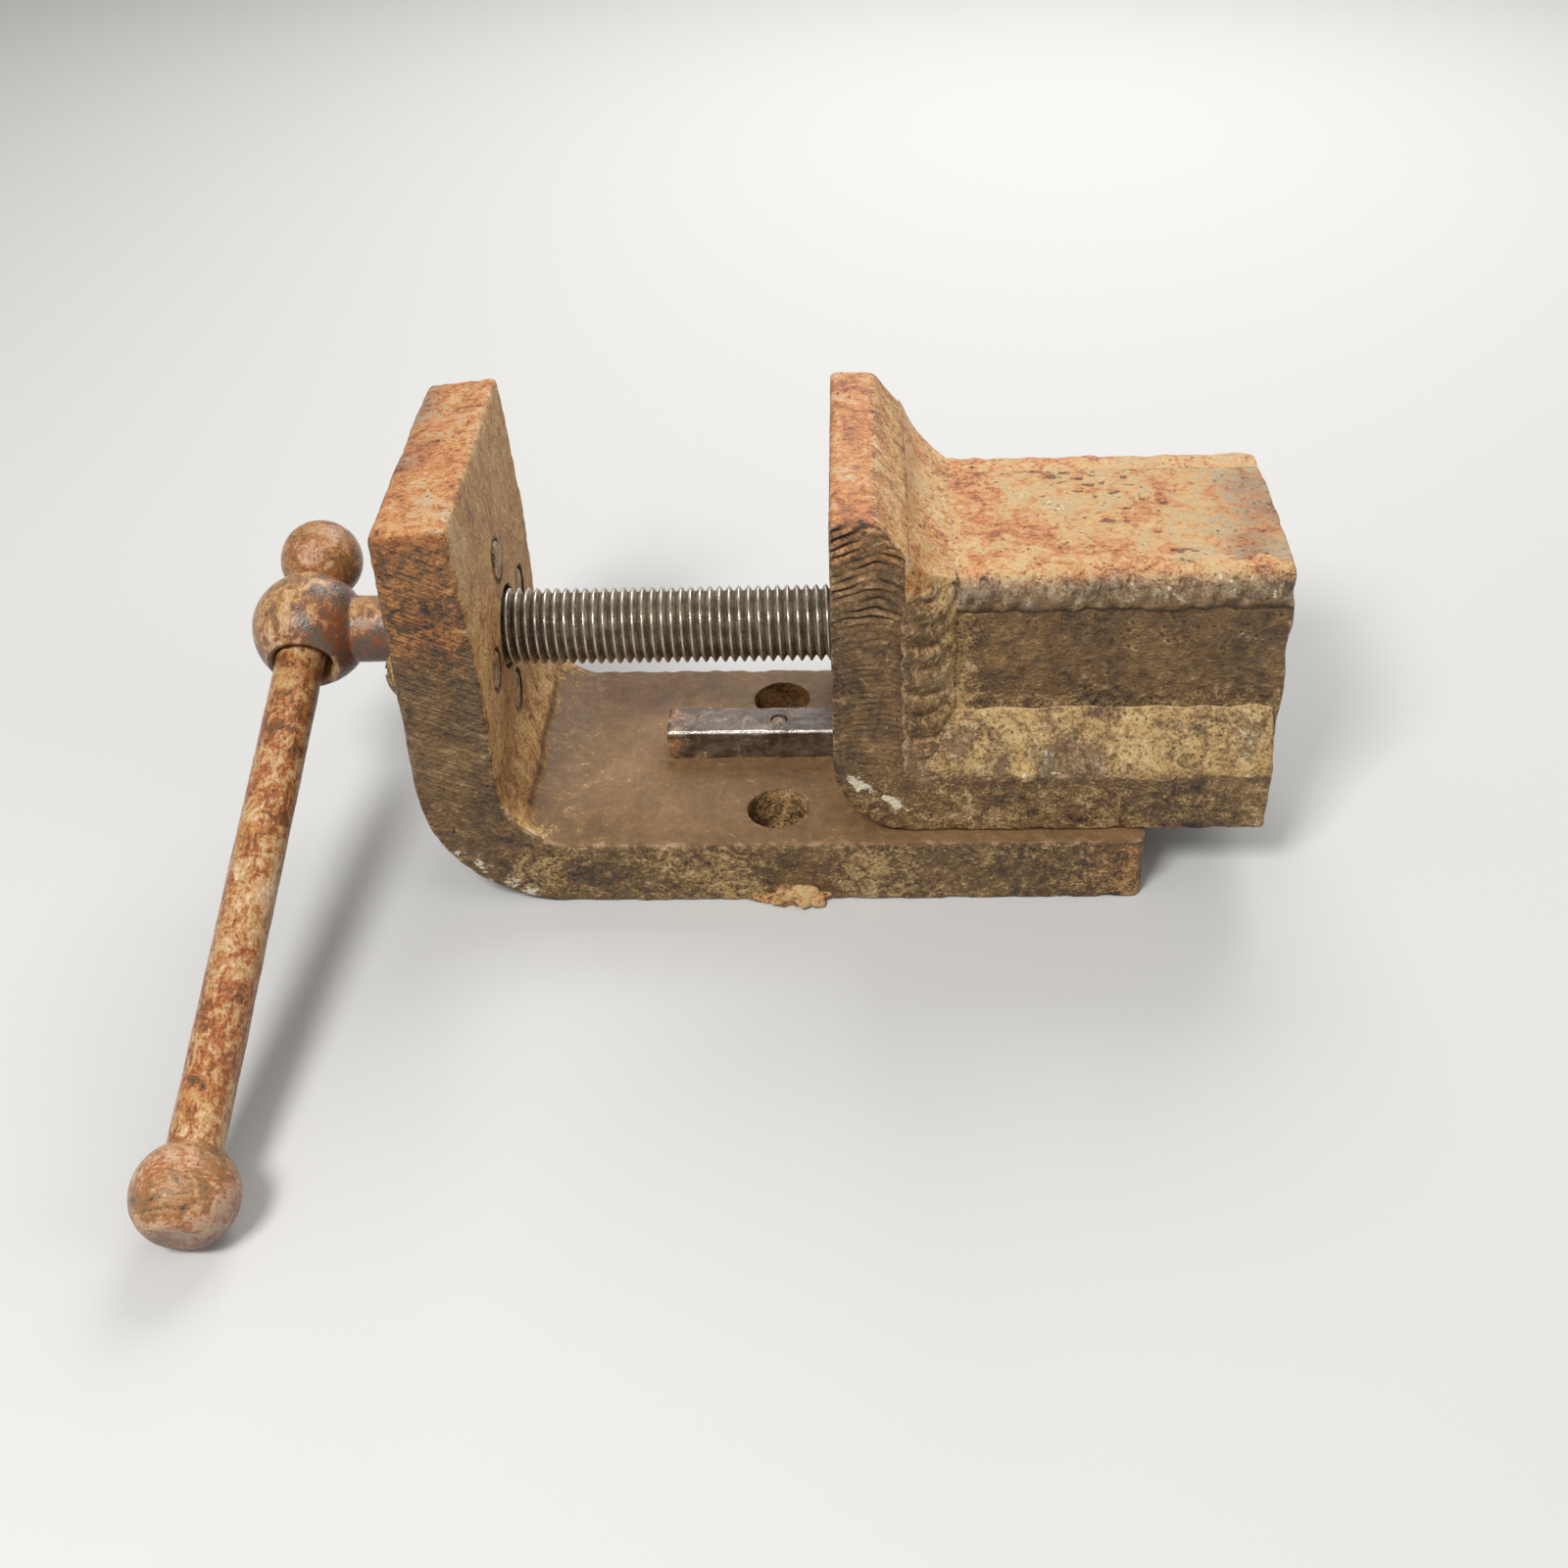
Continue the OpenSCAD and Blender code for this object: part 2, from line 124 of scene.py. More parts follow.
class ViseSizes(PropertyGroup):
    """Sizes of the vise that its frame doesn't state by itself."""

    fixed_foot: length("Fixed jaw thickness", "Thickness of the fixed jaw below its lean", 27.2)
    fixed_top: length("Fixed jaw top", "Thickness of the fixed jaw at its top", 24.0)
    lean_height: length("Lean height", "Height above which the fixed jaw's inner face leans out", 90.0)
    top_fall: length("Top fall", "Drop of the fixed jaw's top towards its outer edge", 2.5)
    outer_bend: length("Outer bend", "Outer radius of the base bar's bend", 48.0)
    inner_bend: length("Inner bend", "Inner radius of the base bar's bend", 24.0)
    jaw_thickness: length("Moving jaw thickness", "Thickness of the moving jaw's upright", 24.2)
    foot_thickness: length("Foot thickness", "Thickness of the moving jaw's foot", 22.4)
    jaw_bend: length("Moving jaw bend", "Outer radius of the moving jaw's bend", 27.5)
    jaw_land: length("Jaw land", "Width of the flat on top of the moving jaw", 13.9)
    jaw_chamfer: length("Jaw chamfer", "Height of the chamfer behind the flat", 12.2)
    key_room: length("Key room", "Play between the guide key and its groove", 0.3)
    bolt_hole: length("Bolt hole radius", "Radius of the table bolt holes", 10.0)
    bolt_spacing: length("Bolt spacing", "Distance between the table bolt holes", 63.5)
    screw_radius: length("Screw radius", "Radius of the lead screw over its crests", 12.7)
    pitch: length("Thread pitch", "Pitch of the lead screw", 3.175)
    thread_depth: length("Thread depth", "Depth of the lead screw's thread", 1.95)
    journal_radius: length("Journal radius", "Radius of the screw's journal in the fixed jaw", 13.92)
    journal_inset: length("Journal inset", "How far inside the inner face the journal ends", 3.0)
    collar_width: length("Collar width", "Width of the screw's thrust collar", 5.8)
    spigot_radius: length("Spigot radius", "Radius of the spigot that holds the ball head", 7.0)
    neck_radius: length("Neck radius", "Radius of the ball head's neck", 11.0)
    bar_radius: length("Handle radius", "Radius of the sliding handle", 7.85)
    bar_room: length("Handle room", "Play between the handle and its hole", 1.6)
    long_knob: length("Long knob length", "Length of the knob on the handle's long end", 25.0)
    short_knob: length("Short knob length", "Length of the knob on the handle's short end", 22.4)
    keeper_circle: length("Keeper circle", "Radius of the circle of keeper screws", 25.4)
    keeper_shank: length("Keeper shank", "Radius of a keeper screw", 6.35)
    keeper_head: length("Keeper head", "Radius of a keeper screw's head", 9.0)
    rivet_radius: length("Rivet radius", "Radius of the rivets in the guide key", 2.5)
    worn_edge: length("Worn edge", "Width of the close cells that round a bar's edges", 1.7)


class ViseColours(PropertyGroup):
    """Colours of rust, dust and steel, as they look under plain light."""

    # Besides dirt, this colour paints shade: in hollows and creases, down the bolt holes and under faces
    # turned down.
    soot: paint("Soot", "Dirt in hollows and under edges", 40, 30, 22)
    umber: paint("Umber", "Darkest brown of torch-cut and rolled faces", 78, 58, 40)
    bark: paint("Bark", "Dark brown of aged steel", 116, 88, 56)
    brown: paint("Brown", "Middle brown of aged steel", 147, 114, 73)
    ochre: paint("Ochre", "Light brown grain on aged steel", 182, 146, 94)
    slate: paint("Slate", "Dark grey-brown of turned steel", 112, 98, 83)
    scale: paint("Scale", "Grey mill scale that shows through the rust", 172, 157, 133)
    red: paint("Red rust", "Old red-brown rust", 146, 80, 48)
    russet: paint("Russet", "Rust between red and orange", 178, 106, 60)
    orange: paint("Orange rust", "Fresh orange rust", 212, 140, 76)
    tan: paint("Tan rust", "Dry rust on upper faces", 216, 172, 116)
    cream: paint("Cream rust", "Palest dry rust", 240, 214, 170)
    pink: paint("Pink rust", "Rosy rust on worn lands and edges", 216, 176, 146)
    dust: paint("Dust", "Yellow dust held by rough places", 224, 186, 122)
    rubbed: paint("Rubbed brown", "Smooth brown where work has slid over the base", 150, 115, 76)
    steel: paint("Bare steel", "Steel rubbed bright", 216, 209, 198)
    grease: paint("Old grease", "Brown grease in the thread", 116, 100, 80)
    # This colour also paints glints on the upward lumps of the seams.
    flake: paint("Paint flake", "Cream paint left on the moving jaw, and scuffs", 255, 242, 212)


class ViseStage(PropertyGroup):
    """Floor, lights and camera."""

    floor: paint("Floor", "Colour of the floor", 216, 215, 212)
    bounce: paint("Floor bounce", "Colour of the light that the floor sends back", 116, 114, 110)
    sky: FloatProperty(name="Sky", description="Strength of the even light from all round", default=0.27)
    key: power("Key light", "Power of the large lamp behind", 10.0)
    spark: power("Small light", "Power of the small lamp in front", 12.0)
    fill: power("Fill light", "Power of the lamp at the right", 3.0)
    camera_place: FloatVectorProperty(
        name="Camera place", description="Where the camera stands", size=3, subtype="TRANSLATION",
        default=(27.5 * MM, -516.3 * MM, 410.8 * MM))
    camera_turn: FloatVectorProperty(
        name="Camera turn", description="How the camera is turned", size=3, subtype="EULER",
        default=[math.radians(angle) for angle in (52.16, 1.891, 1.470)])
    lens: FloatProperty(
        name="Lens", description="Focal length on a 36 mm sensor", default=42.64, unit="CAMERA")


def sizes():
    """The sizes set in the scene."""
    return bpy.context.scene.vise_sizes


# Mesh work

def cell_lines(extent, step, edge):
    """Places of the cell lines across an extent: near both ends, and evenly between."""
    edge = min(edge, extent / 3)
    count = max(1, round((extent - 2 * edge) / step))
    inner = [edge + (extent - 2 * edge) * i / count for i in range(count + 1)]
    return [0.0] + inner + [extent]


def block(size, step, edge):
    """A box from the origin to size, divided into cells, with close lines along its edges."""
    bm = bmesh.new()
    bmesh.ops.create_cube(bm, size=1, matrix=Matrix.Translation((0.5, 0.5, 0.5)))
    for axis in range(3):
        lines = cell_lines(size[axis], step[axis], edge)
        along = [e for e in bm.edges if abs(e.verts[0].co[axis] - e.verts[1].co[axis]) > 0.5]
        bmesh.ops.subdivide_edges(bm, edges=along, cuts=len(lines) - 2, use_grid_fill=True)
        for vert in bm.verts:
            vert.co[axis] = lines[round(vert.co[axis] * (len(lines) - 1))] / size[axis]
    bmesh.ops.scale(bm, vec=size, verts=bm.verts)
    return bm


def shaped(bm, place):
    """Moves every vertex to where place puts it, merges what meets and turns the faces outwards."""
    for vert in bm.verts:
        vert.co = place(vert.co)
    bmesh.ops.remove_doubles(bm, verts=bm.verts, dist=0.01 * MM)
    bmesh.ops.recalc_face_normals(bm, faces=bm.faces)
    return bm


def turned(profile, segments):
    """A solid turned about Z from points of radius and height, first and last on the axis."""
    bm = bmesh.new()
    verts = [bm.verts.new((radius, 0, height)) for radius, height in profile]
    edges = [bm.edges.new(pair) for pair in zip(verts, verts[1:])]
    bmesh.ops.spin(bm, geom=verts + edges, cent=(0, 0, 0), axis=UPWARD, angle=2 * math.pi,
                   steps=segments, use_merge=True)
    bmesh.ops.remove_doubles(bm, verts=bm.verts, dist=0.001 * MM)
    bmesh.ops.recalc_face_normals(bm, faces=bm.faces)
    return bm


def aim(origin, direction):
    """The transform that stands a turned solid at an origin, along a direction."""
    return Matrix.Translation(origin) @ direction.to_track_quat("Z", "Y").to_matrix().to_4x4()


def moved(bm, matrix):
    """Applies a transform to a whole shape."""
    bmesh.ops.transform(bm, matrix=matrix, verts=bm.verts)
    return bm


def softened(bm, width, segments=3, angle=CRISP):
    """Bevels every edge sharper than an angle."""
    sharp = [e for e in bm.edges if len(e.link_faces) == 2 and e.calc_face_angle(0) > angle]
    bmesh.ops.bevel(bm, geom=sharp, offset=width, offset_type="OFFSET", affect="EDGES", segments=segments,
                    profile=0.5, material=-1, clamp_overlap=True)
    return bm


def merged(*shapes):
    """Several shapes as one, each still closed by itself."""
    whole = bmesh.new()
    for shape in shapes:
        mesh = bpy.data.meshes.new("shape")
        shape.to_mesh(mesh)
        shape.free()
        whole.from_mesh(mesh)
        bpy.data.meshes.remove(mesh)
    return whole


def placed(name, bm):
    """An object in the scene from a finished shape."""
    mesh = bpy.data.meshes.new(name)
    bm.to_mesh(mesh)
    bm.free()
    piece = bpy.data.objects.new(name, mesh)
    bpy.context.collection.objects.link(piece)
    return piece


def settled(piece):
    """Applies a piece's modifiers to its mesh."""
    bpy.context.view_layer.update()
    depsgraph = bpy.context.evaluated_depsgraph_get()
    mesh = bpy.data.meshes.new_from_object(piece.evaluated_get(depsgraph), depsgraph=depsgraph)
    before = piece.data
    piece.modifiers.clear()
    piece.data = mesh
    bpy.data.meshes.remove(before)
    return piece


def refined(piece, levels=1):
    """Rounds a piece's cells with a subdivision surface."""
    smooth = piece.modifiers.new("Round", "SUBSURF")
    smooth.levels = smooth.render_levels = levels
    return settled(piece)


def carved(piece, *cutters):
    """Cuts shapes out of a piece."""
    for cutter in cutters:
        tool = placed("cutter", cutter)
        cut = piece.modifiers.new("Cut", "BOOLEAN")
        cut.operation = "DIFFERENCE"
        cut.solver = "EXACT"
        cut.object = tool
        settled(piece)
        bpy.data.objects.remove(tool)


def drill(origin, direction, radius, depth, mouth=0.6 * MM, back_mouth=True):
    """A cutter for a round hole from a face at origin, with a rounded mouth there and perhaps at its end."""
    over = 4 * MM
    turn_steps = 5
    profile = [(0, -over), (radius + mouth, -over)]
    for i in range(turn_steps + 1):
        turn = math.pi / 2 * i / turn_steps
        profile.append((radius + mouth - mouth * math.sin(turn), mouth - mouth * math.cos(turn)))
    if back_mouth:
        profile += [(reach, depth - height) for reach, height in reversed(profile[2:])]
        profile += [(radius + mouth, depth + over), (0, depth + over)]
    else:
        profile += [(radius, depth), (0, depth)]
    return moved(turned(profile, 56), aim(origin, direction))


def rough(point, size):
    """Smooth noise from -1 to 1 whose features are about a size across."""
    return noise.noise(point / size)


def weathered(piece, dent, dent_size, grain, grain_size=3.5 * MM, bite=0.0, extra=None):
    """Roughens a piece: shallow dents, fine grain, bites out of its edges and any marks of its own."""
    sharp = 0.02
    wide_bite, small_bite = 7 * MM, 2.6 * MM
    mesh = piece.data
    bend = edge_bend(mesh)
    normals = [normal.vector.copy() for normal in mesh.vertex_normals]
    for vert, normal, lean in zip(mesh.vertices, normals, bend):
        shift = dent * rough(vert.co, dent_size) + grain * rough(vert.co, grain_size)
        if bite and lean > sharp:
            edge = min(1.0, lean * EDGE_GAIN)
            eaten = rough(vert.co, wide_bite) + 0.5 * rough(vert.co, small_bite) + 0.15
            shift -= bite * edge * max(0.0, eaten)
        if extra:
            shift += extra(vert.co, normal)
        vert.co += normal * shift
    mesh.update()


def edge_bend(mesh, calming=2):
    """How far each vertex stands out of its neighbours: above 0 on an edge, below 0 in a hollow."""
    count = len(mesh.vertices)
    spots = np.empty(count * 3)
    normals = np.empty(count * 3)
    ends = np.empty(len(mesh.edges) * 2, dtype=np.int32)
    mesh.vertices.foreach_get("co", spots)
    mesh.vertex_normals.foreach_get("vector", normals)
    mesh.edges.foreach_get("vertices", ends)
    spots, normals = spots.reshape(-1, 3), normals.reshape(-1, 3)
    first, second = ends.reshape(-1, 2).T
    way = spots[second] - spots[first]
    way /= np.maximum(np.linalg.norm(way, axis=1), 1e-9)[:, None]
    share = np.maximum(1, np.bincount(ends, minlength=count))
    lean = np.bincount(second, (way * normals[second]).sum(axis=1), count)
    lean -= np.bincount(first, (way * normals[first]).sum(axis=1), count)
    lean /= share
    for _ in range(calming):
        near = np.bincount(first, lean[second], count) + np.bincount(second, lean[first], count)
        lean = (lean + near) / (1 + share)
    return lean.tolist()


# What covers a piece, and how strongly its edges and hollows show; the hollows are darkened as painted shade
LAYERS = ("tan", "red", "grey", "dust", "soot", "pit", "bare", "mark", "rub", "flake")
EDGE_GAIN = 4


def painted(piece, rule):
    """Stores where a piece is worn, hollow and covered with what, for its finish to read.
    A rule takes a place in millimetres and a normal, and gives the share of each layer that it names,
    and under worn how much of the wear on edges stays. Creases stored on the mesh add painted shade to the
    soot layer."""
    mesh = piece.data
    bend = edge_bend(mesh)
    values = {name: [] for name in ("worn", "hollow") + LAYERS}
    crease_shades = mesh.attributes.get("crease")
    for number, (vert, normal) in enumerate(zip(mesh.vertices, mesh.vertex_normals)):
        shares = rule(vert.co / MM, normal.vector)
        values["worn"].append(min(1.0, max(0.0, bend[number] * EDGE_GAIN)) * shares.get("worn", 1.0))
        values["hollow"].append(min(1.0, max(0.0, -bend[number] * EDGE_GAIN)))
        for name in LAYERS:
            values[name].append(shares.get(name, 0.0))
        # Creases add painted shade to the soot layer.
        if crease_shades:
            values["soot"][-1] += crease_shades.data[number].value
    for name, numbers in values.items():
        layer = mesh.attributes.new(name, "FLOAT", "POINT")
        layer.data.foreach_set("value", numbers)


def grained(piece, matrix):
    """Stores each vertex's place in a turned frame, so that a finish can run along a slanted piece."""
    inverse = matrix.inverted()
    layer = piece.data.attributes.new("own_place", "FLOAT_VECTOR", "POINT")
    layer.data.foreach_set("vector", [value for vert in piece.data.vertices for value in inverse @ vert.co])


def evenly(**shares):
    """A rule for painted that gives every place the same shares."""
    return lambda at, normal: shares


def dressed(piece, node, finish, rule, angle=SMOOTH):
    """Paints and shades a piece, gives it its finish and puts it in its node's place on the node's body."""
    painted(piece, rule)
    piece.data.shade_smooth()
    piece.data.set_sharp_from_angle(angle=angle)
    piece.data.materials.clear()
    piece.data.materials.append(finish_of(finish))
    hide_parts(node)
    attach(piece, BODY_OF[node])


def ramp(value, low, high):
    """0 below low, 1 above high and a straight rise between; low may be above high."""
    return min(1.0, max(0.0, (value - low) / (high - low)))


# Finishes

class Wire:
    """One value in a finish: sums on it add Math nodes."""

    def __init__(self, finish, socket):
        self.finish = finish
        self.socket = socket

    def maths(self, operation, *values):
        """The wire out of a Math node on values and wires."""
        return self.finish.node("ShaderNodeMath", {"operation": operation}, dict(enumerate(values)))

    def __add__(self, other):
        return self.maths("ADD", self, other)

    __radd__ = __add__

    def __sub__(self, other):
        return self.maths("SUBTRACT", self, other)

    def __rsub__(self, other):
        return self.maths("SUBTRACT", other, self)

    def __mul__(self, other):
        return self.maths("MULTIPLY", self, other)

    __rmul__ = __mul__


class Finish:
    """One procedural finish: a material and the nodes that paint it."""

    def __init__(self, name):
        self.material = bpy.data.materials.new(name)
        self.material.use_nodes = True
        self.tree = self.material.node_tree
        self.tree.nodes.clear()
        self.colours = bpy.context.scene.vise_colours

    def node(self, kind, settings=None, sockets=None, output=0):
        """Adds a node: its settings or a ramp's stops first, then the values or wires of its sockets."""
        made = self.tree.nodes.new(kind)
        for name, value in (settings or {}).items():
            if name == "stops":
                elements = made.color_ramp.elements
                for place, _ in value[1:-1]:
                    elements.new(place)
                for element, (_, colour) in zip(elements, value):
                    element.color = colour
            else:
                setattr(made, name, value)
        for name, value in (sockets or {}).items():
            if isinstance(value, Wire):
                self.tree.links.new(value.socket, made.inputs[name])
            else:
                made.inputs[name].default_value = value
        return Wire(self, made.outputs[output]) if made.outputs else None

    def colour(self, name):
        """One of the scene's colours, as a socket takes it."""
        return (*getattr(self.colours, name), 1.0)

    def place(self, stretch=(1, 1, 1), own=False):
        """Where a point is on the piece, in metres, stretched along the axes."""
        if own:
            spot = self.node("ShaderNodeAttribute", {"attribute_name": "own_place"}, output="Vector")
        else:
            spot = self.node("ShaderNodeTexCoord", output="Object")
        return self.node("ShaderNodeVectorMath", {"operation": "MULTIPLY"}, {0: spot, 1: stretch})

    def layer(self, name):
        """A share stored on the piece."""
        return self.node("ShaderNodeAttribute", {"attribute_name": name}, output="Fac")

    def clouds(self, place, size, detail=5, roughness=0.6, twist=0.0):
        """Cloudy noise from 0 to 1 with features of a size."""
        return self.node("ShaderNodeTexNoise", {"noise_dimensions": "3D"},
                         {"Vector": place, "Scale": 1 / size, "Detail": detail, "Roughness": roughness,
                          "Distortion": twist})

    def pits(self, place, size):
        """Distance from scattered points of a spacing, in spacings."""
        return self.node("ShaderNodeTexVoronoi", {"feature": "F1"}, {"Vector": place, "Scale": 1 / size})

    def step(self, value, low, high, kind="SMOOTHSTEP"):
        """0 below low, 1 above high, with a rise between."""
        return self.node("ShaderNodeMapRange", {"interpolation_type": kind},
                         {"Value": value, "From Min": low, "From Max": high, "To Min": 0.0, "To Max": 1.0})

    def mix(self, share, under, over):
        """One colour over another."""
        return self.node("ShaderNodeMix", {"data_type": "RGBA"}, {0: share, 6: under, 7: over}, output=2)

    def tones(self, value, *stops):
        """A run of the scene's colours along a value, from places 0 to 1."""
        colours = [(place, self.colour(name)) for place, name in stops]
        return self.node("ShaderNodeValToRGB", {"stops": colours}, {"Fac": value})

    def surface(self, colour, roughness, metallic, height, relief):
        """Ends the finish in one shader with a bumped surface."""
        bump = self.node("ShaderNodeBump", {}, {"Strength": 1.0, "Distance": relief, "Height": height})
        shader = self.node("ShaderNodeBsdfPrincipled", {}, {
            "Base Color": colour, "Roughness": roughness, "Metallic": metallic, "Normal": bump})
        self.node("ShaderNodeOutputMaterial", {}, {"Surface": shader})
        return self.material


# Runs of colour along a tone, from its dark end to its pale one
FRONT_CRUST = ((0.0, "soot"), (0.14, "umber"), (0.44, "bark"), (0.74, "brown"), (1.0, "ochre"))
RED_RUST = ((0.0, "red"), (0.4, "russet"), (0.8, "orange"), (1.0, "tan"))
DRY_DUST = ((0.0, "brown"), (0.25, "ochre"), (0.6, "dust"), (1.0, "cream"))
UPPER_BLOOM = ((0.0, "red"), (0.13, "russet"), (0.32, "orange"), (0.52, "tan"), (0.68, "dust"),
               (0.78, "scale"), (0.86, "dust"), (1.0, "cream"))
HAND_BLOOM = ((0.0, "red"), (0.16, "russet"), (0.38, "orange"), (0.52, "ochre"), (0.66, "tan"),
              (0.84, "pink"), (1.0, "cream"))


def aged_steel(name, crust=FRONT_CRUST, bloom=UPPER_BLOOM, stretch=(0.8, 1, 1), own=False, fine=1.0,
               grit=1.0, dull=0.47, relief=2.6 * MM, lines=None):
    """Rust in layers over dark steel: crust, red and tan rust, scale, dust, worn edges, dirt, painted shade
    in hollows and creases, painted glints, bare metal.
    A fine below 1 shrinks patches and streaks, grit strengthens streaks and grains, dull is the roughness."""
    finish = Finish(name)
    colour_of = finish.colour
    even = finish.place(own=own)
    drawn = finish.place(stretch, own)
    cloud = finish.clouds(even, 24 * MM, 3)
    patch = finish.clouds(even, 8 * MM * fine, 8, 0.68, 1.2)
    streak = finish.clouds(drawn, 2.2 * MM * fine, 5, 0.64, 0.6)
    grain = finish.clouds(even, 0.9 * MM, 3, 0.6)
    drift = (cloud - 0.5) * 0.3
    middle = 0.25 + 0.25 * grit
    tone = finish.step(patch * 0.5 + streak * (0.3 * grit) + grain * (0.2 * grit) + drift,
                       middle - 0.14, middle + 0.14, "LINEAR")
    broken = (patch - 0.5) * 1.2 + (streak - 0.5) * grit + (grain - 0.5) * (0.5 * grit)
    pock = finish.step(finish.pits(even, 2.8 * MM) + (grain - 0.5) * 0.7, 0.26, 0.1)
    pock = pock * finish.step(patch - drift * 1.5, 0.46, 0.6) * (0.9 * grit)

    colour = finish.tones(tone, *crust)
    rub = finish.layer("rub")
    smooth = finish.mix(tone, colour_of("bark"), colour_of("rubbed"))
    colour = finish.mix(rub * 0.85, colour, smooth)
    red = finish.step(finish.layer("red") + broken, 0.3, 0.7)
    colour = finish.mix(red * 0.75, colour, finish.tones(tone, *RED_RUST))
    tan = finish.step(finish.layer("tan") + broken * 0.9, 0.3, 0.7)
    colour = finish.mix(tan * 0.95, colour, finish.tones(tone, *bloom))
    grey = finish.step(finish.layer("grey") + broken * 1.1 - drift * 2.0, 0.35, 0.85)
    colour = finish.mix(grey * 0.75, colour, finish.mix(tone, colour_of("slate"), colour_of("scale")))
    dusty = finish.layer("dust") + (patch - 0.5) * 0.9 + (grain - 0.5) * 1.1 + (streak - 0.5) * 0.8
    dust = finish.step(dusty, 0.28, 0.85)
    colour = finish.mix(dust * 0.85, colour, finish.tones(tone, *DRY_DUST))
    # Painted glints: scattered cream flecks, fewer where rubbed.
    painted_glint = finish.step(streak * 0.5 + grain * 0.5, 0.6, 0.66)
    colour = finish.mix(painted_glint * (1 - rub) * 0.36, colour, colour_of("cream"))
    speck = finish.step(streak * 0.4 + grain * 0.6, 0.4, 0.34)
    dirt = speck * 0.42 + pock * 0.75
    colour = finish.mix(dirt * (1 - rub * 0.9), colour, colour_of("soot"))

    worn = finish.step(finish.layer("worn") + (patch - 0.5) * 1.8 + (streak - 0.5) * 0.6, 0.3, 0.75)
    colour = finish.mix(worn * 0.5, colour, colour_of("pink"))
    # Painted shade: hollows darken to the soot colour, and the soot layer, which also holds dirt, darkens
    # creases and faces turned down.
    hollow = finish.step(finish.layer("hollow") + (grain - 0.5) * 0.4, 0.2, 0.7)
    soot = finish.step(finish.layer("soot") + (streak - 0.5) * 0.9 + (grain - 0.5) * 0.5, 0.3, 0.75)
    colour = finish.mix(hollow * 0.45, colour, colour_of("soot"))
    colour = finish.mix(soot * 0.8, colour, colour_of("soot"))
    pit = finish.step(finish.layer("pit") + (streak - 0.5) * 1.6 + (grain - 0.5) * 0.8, 0.4, 0.6)
    colour = finish.mix(pit * 0.85, colour, finish.mix(tone, colour_of("soot"), colour_of("red")))
    bare = finish.step(finish.layer("bare") + (patch - 0.5) * 1.2 + (streak - 0.5) * 0.8, 0.42, 0.66)
    colour = finish.mix(bare * 0.85, colour, colour_of("steel"))
    # The flake layer holds the paint flake and scuffs, and painted glints on the seams.
    flake = finish.step(finish.layer("flake") + (patch - 0.5) * 2.2 + (streak - 0.5) * 0.9, 0.5, 0.58)
    colour = finish.mix(flake * 0.9, colour, colour_of("flake"))

    height = patch * 0.35 + streak * 0.4 + grain * 0.22 - pit * 0.12 - pock * 0.14 + flake * 0.08
    if lines:
        height = lines(finish, height)
    height = height * (1 - rub * 0.85)
    shine = bare * 0.2 + grey * 0.1
    dry = dust * 0.14 + soot * 0.12 + pock * 0.2 + rub * 0.2
    roughness = dull + (streak - 0.5) * 0.7 - shine + dry
    return finish.surface(colour, roughness, bare * 0.7, height, relief)


def grind_lines(finish, height):
    """Slanting strokes of a grinder where the piece is marked."""
    stroke = (16 * MM, 5 * MM, 1.1 * MM)
    slant = finish.node("ShaderNodeMapping", {"vector_type": "TEXTURE"}, {
        "Vector": finish.place(), "Rotation": (0, math.radians(24), 0), "Scale": stroke})
    strokes = finish.clouds(slant, 1.0, detail=2, roughness=0.5)
    return height + strokes * finish.layer("mark") * 0.45


def bar_finish():
    """Thick rusted bar."""
    ruddy = ((0.0, "red"), (0.22, "russet"), (0.5, "orange"), (0.7, "tan"), (0.8, "pink"), (0.9, "scale"),
             (1.0, "cream"))
    return aged_steel("bar_rust", bloom=ruddy, lines=grind_lines)


def jaw_finish():
    """The moving jaw's bar, rosier on its land."""
    rosy = ((0.0, "red"), (0.28, "russet"), (0.58, "orange"), (0.74, "tan"), (0.84, "pink"), (0.92, "scale"),
            (1.0, "cream"))
    return aged_steel("jaw_rust", bloom=rosy, relief=2.2 * MM)


def plate_finish():
    """Rusted plate of the housing and the keeper."""
    return aged_steel("plate_rust", stretch=(0.6, 1, 1), relief=2.8 * MM)


def weld_finish():
    """Weld metal with dust in its ripples."""
    grey_crust = ((0.0, "umber"), (0.3, "bark"), (0.55, "brown"), (0.75, "slate"), (1.0, "scale"))
    return aged_steel("weld_rust", crust=grey_crust, stretch=(0.9, 1, 1), fine=0.8, dull=0.42,
                      relief=1.8 * MM)


def head_finish():
    """The ball head's dark turned steel with patches of tan rust."""
    turned_crust = ((0.0, "umber"), (0.34, "slate"), (0.58, "red"), (0.8, "rubbed"), (1.0, "pink"))
    return aged_steel("head_rust", crust=turned_crust, bloom=HAND_BLOOM, stretch=(1, 0.5, 0.5), grit=0.7,
                      dull=0.26, relief=0.7 * MM)


def handle_finish():
    """The handle's mottled rust, rubbed by the hand and streaked along the bar."""
    ruddy = ((0.0, "umber"), (0.16, "bark"), (0.34, "red"), (0.5, "russet"), (0.72, "ochre"), (1.0, "tan"))
    return aged_steel("handle_rust", crust=ruddy, bloom=HAND_BLOOM, stretch=(1, 1, 0.4), own=True, fine=0.75,
                      dull=0.26, relief=0.8 * MM)


def knob_finish():
    """The knobs' dark rust, turned in rings about the handle."""
    ruddy = ((0.0, "umber"), (0.28, "brown"), (0.5, "russet"), (0.72, "pink"), (1.0, "scale"))
    return aged_steel("knob_rust", crust=ruddy, bloom=HAND_BLOOM, stretch=(0.5, 0.5, 1.4), own=True, fine=0.7,
                      grit=0.85, dull=0.25, relief=0.7 * MM)


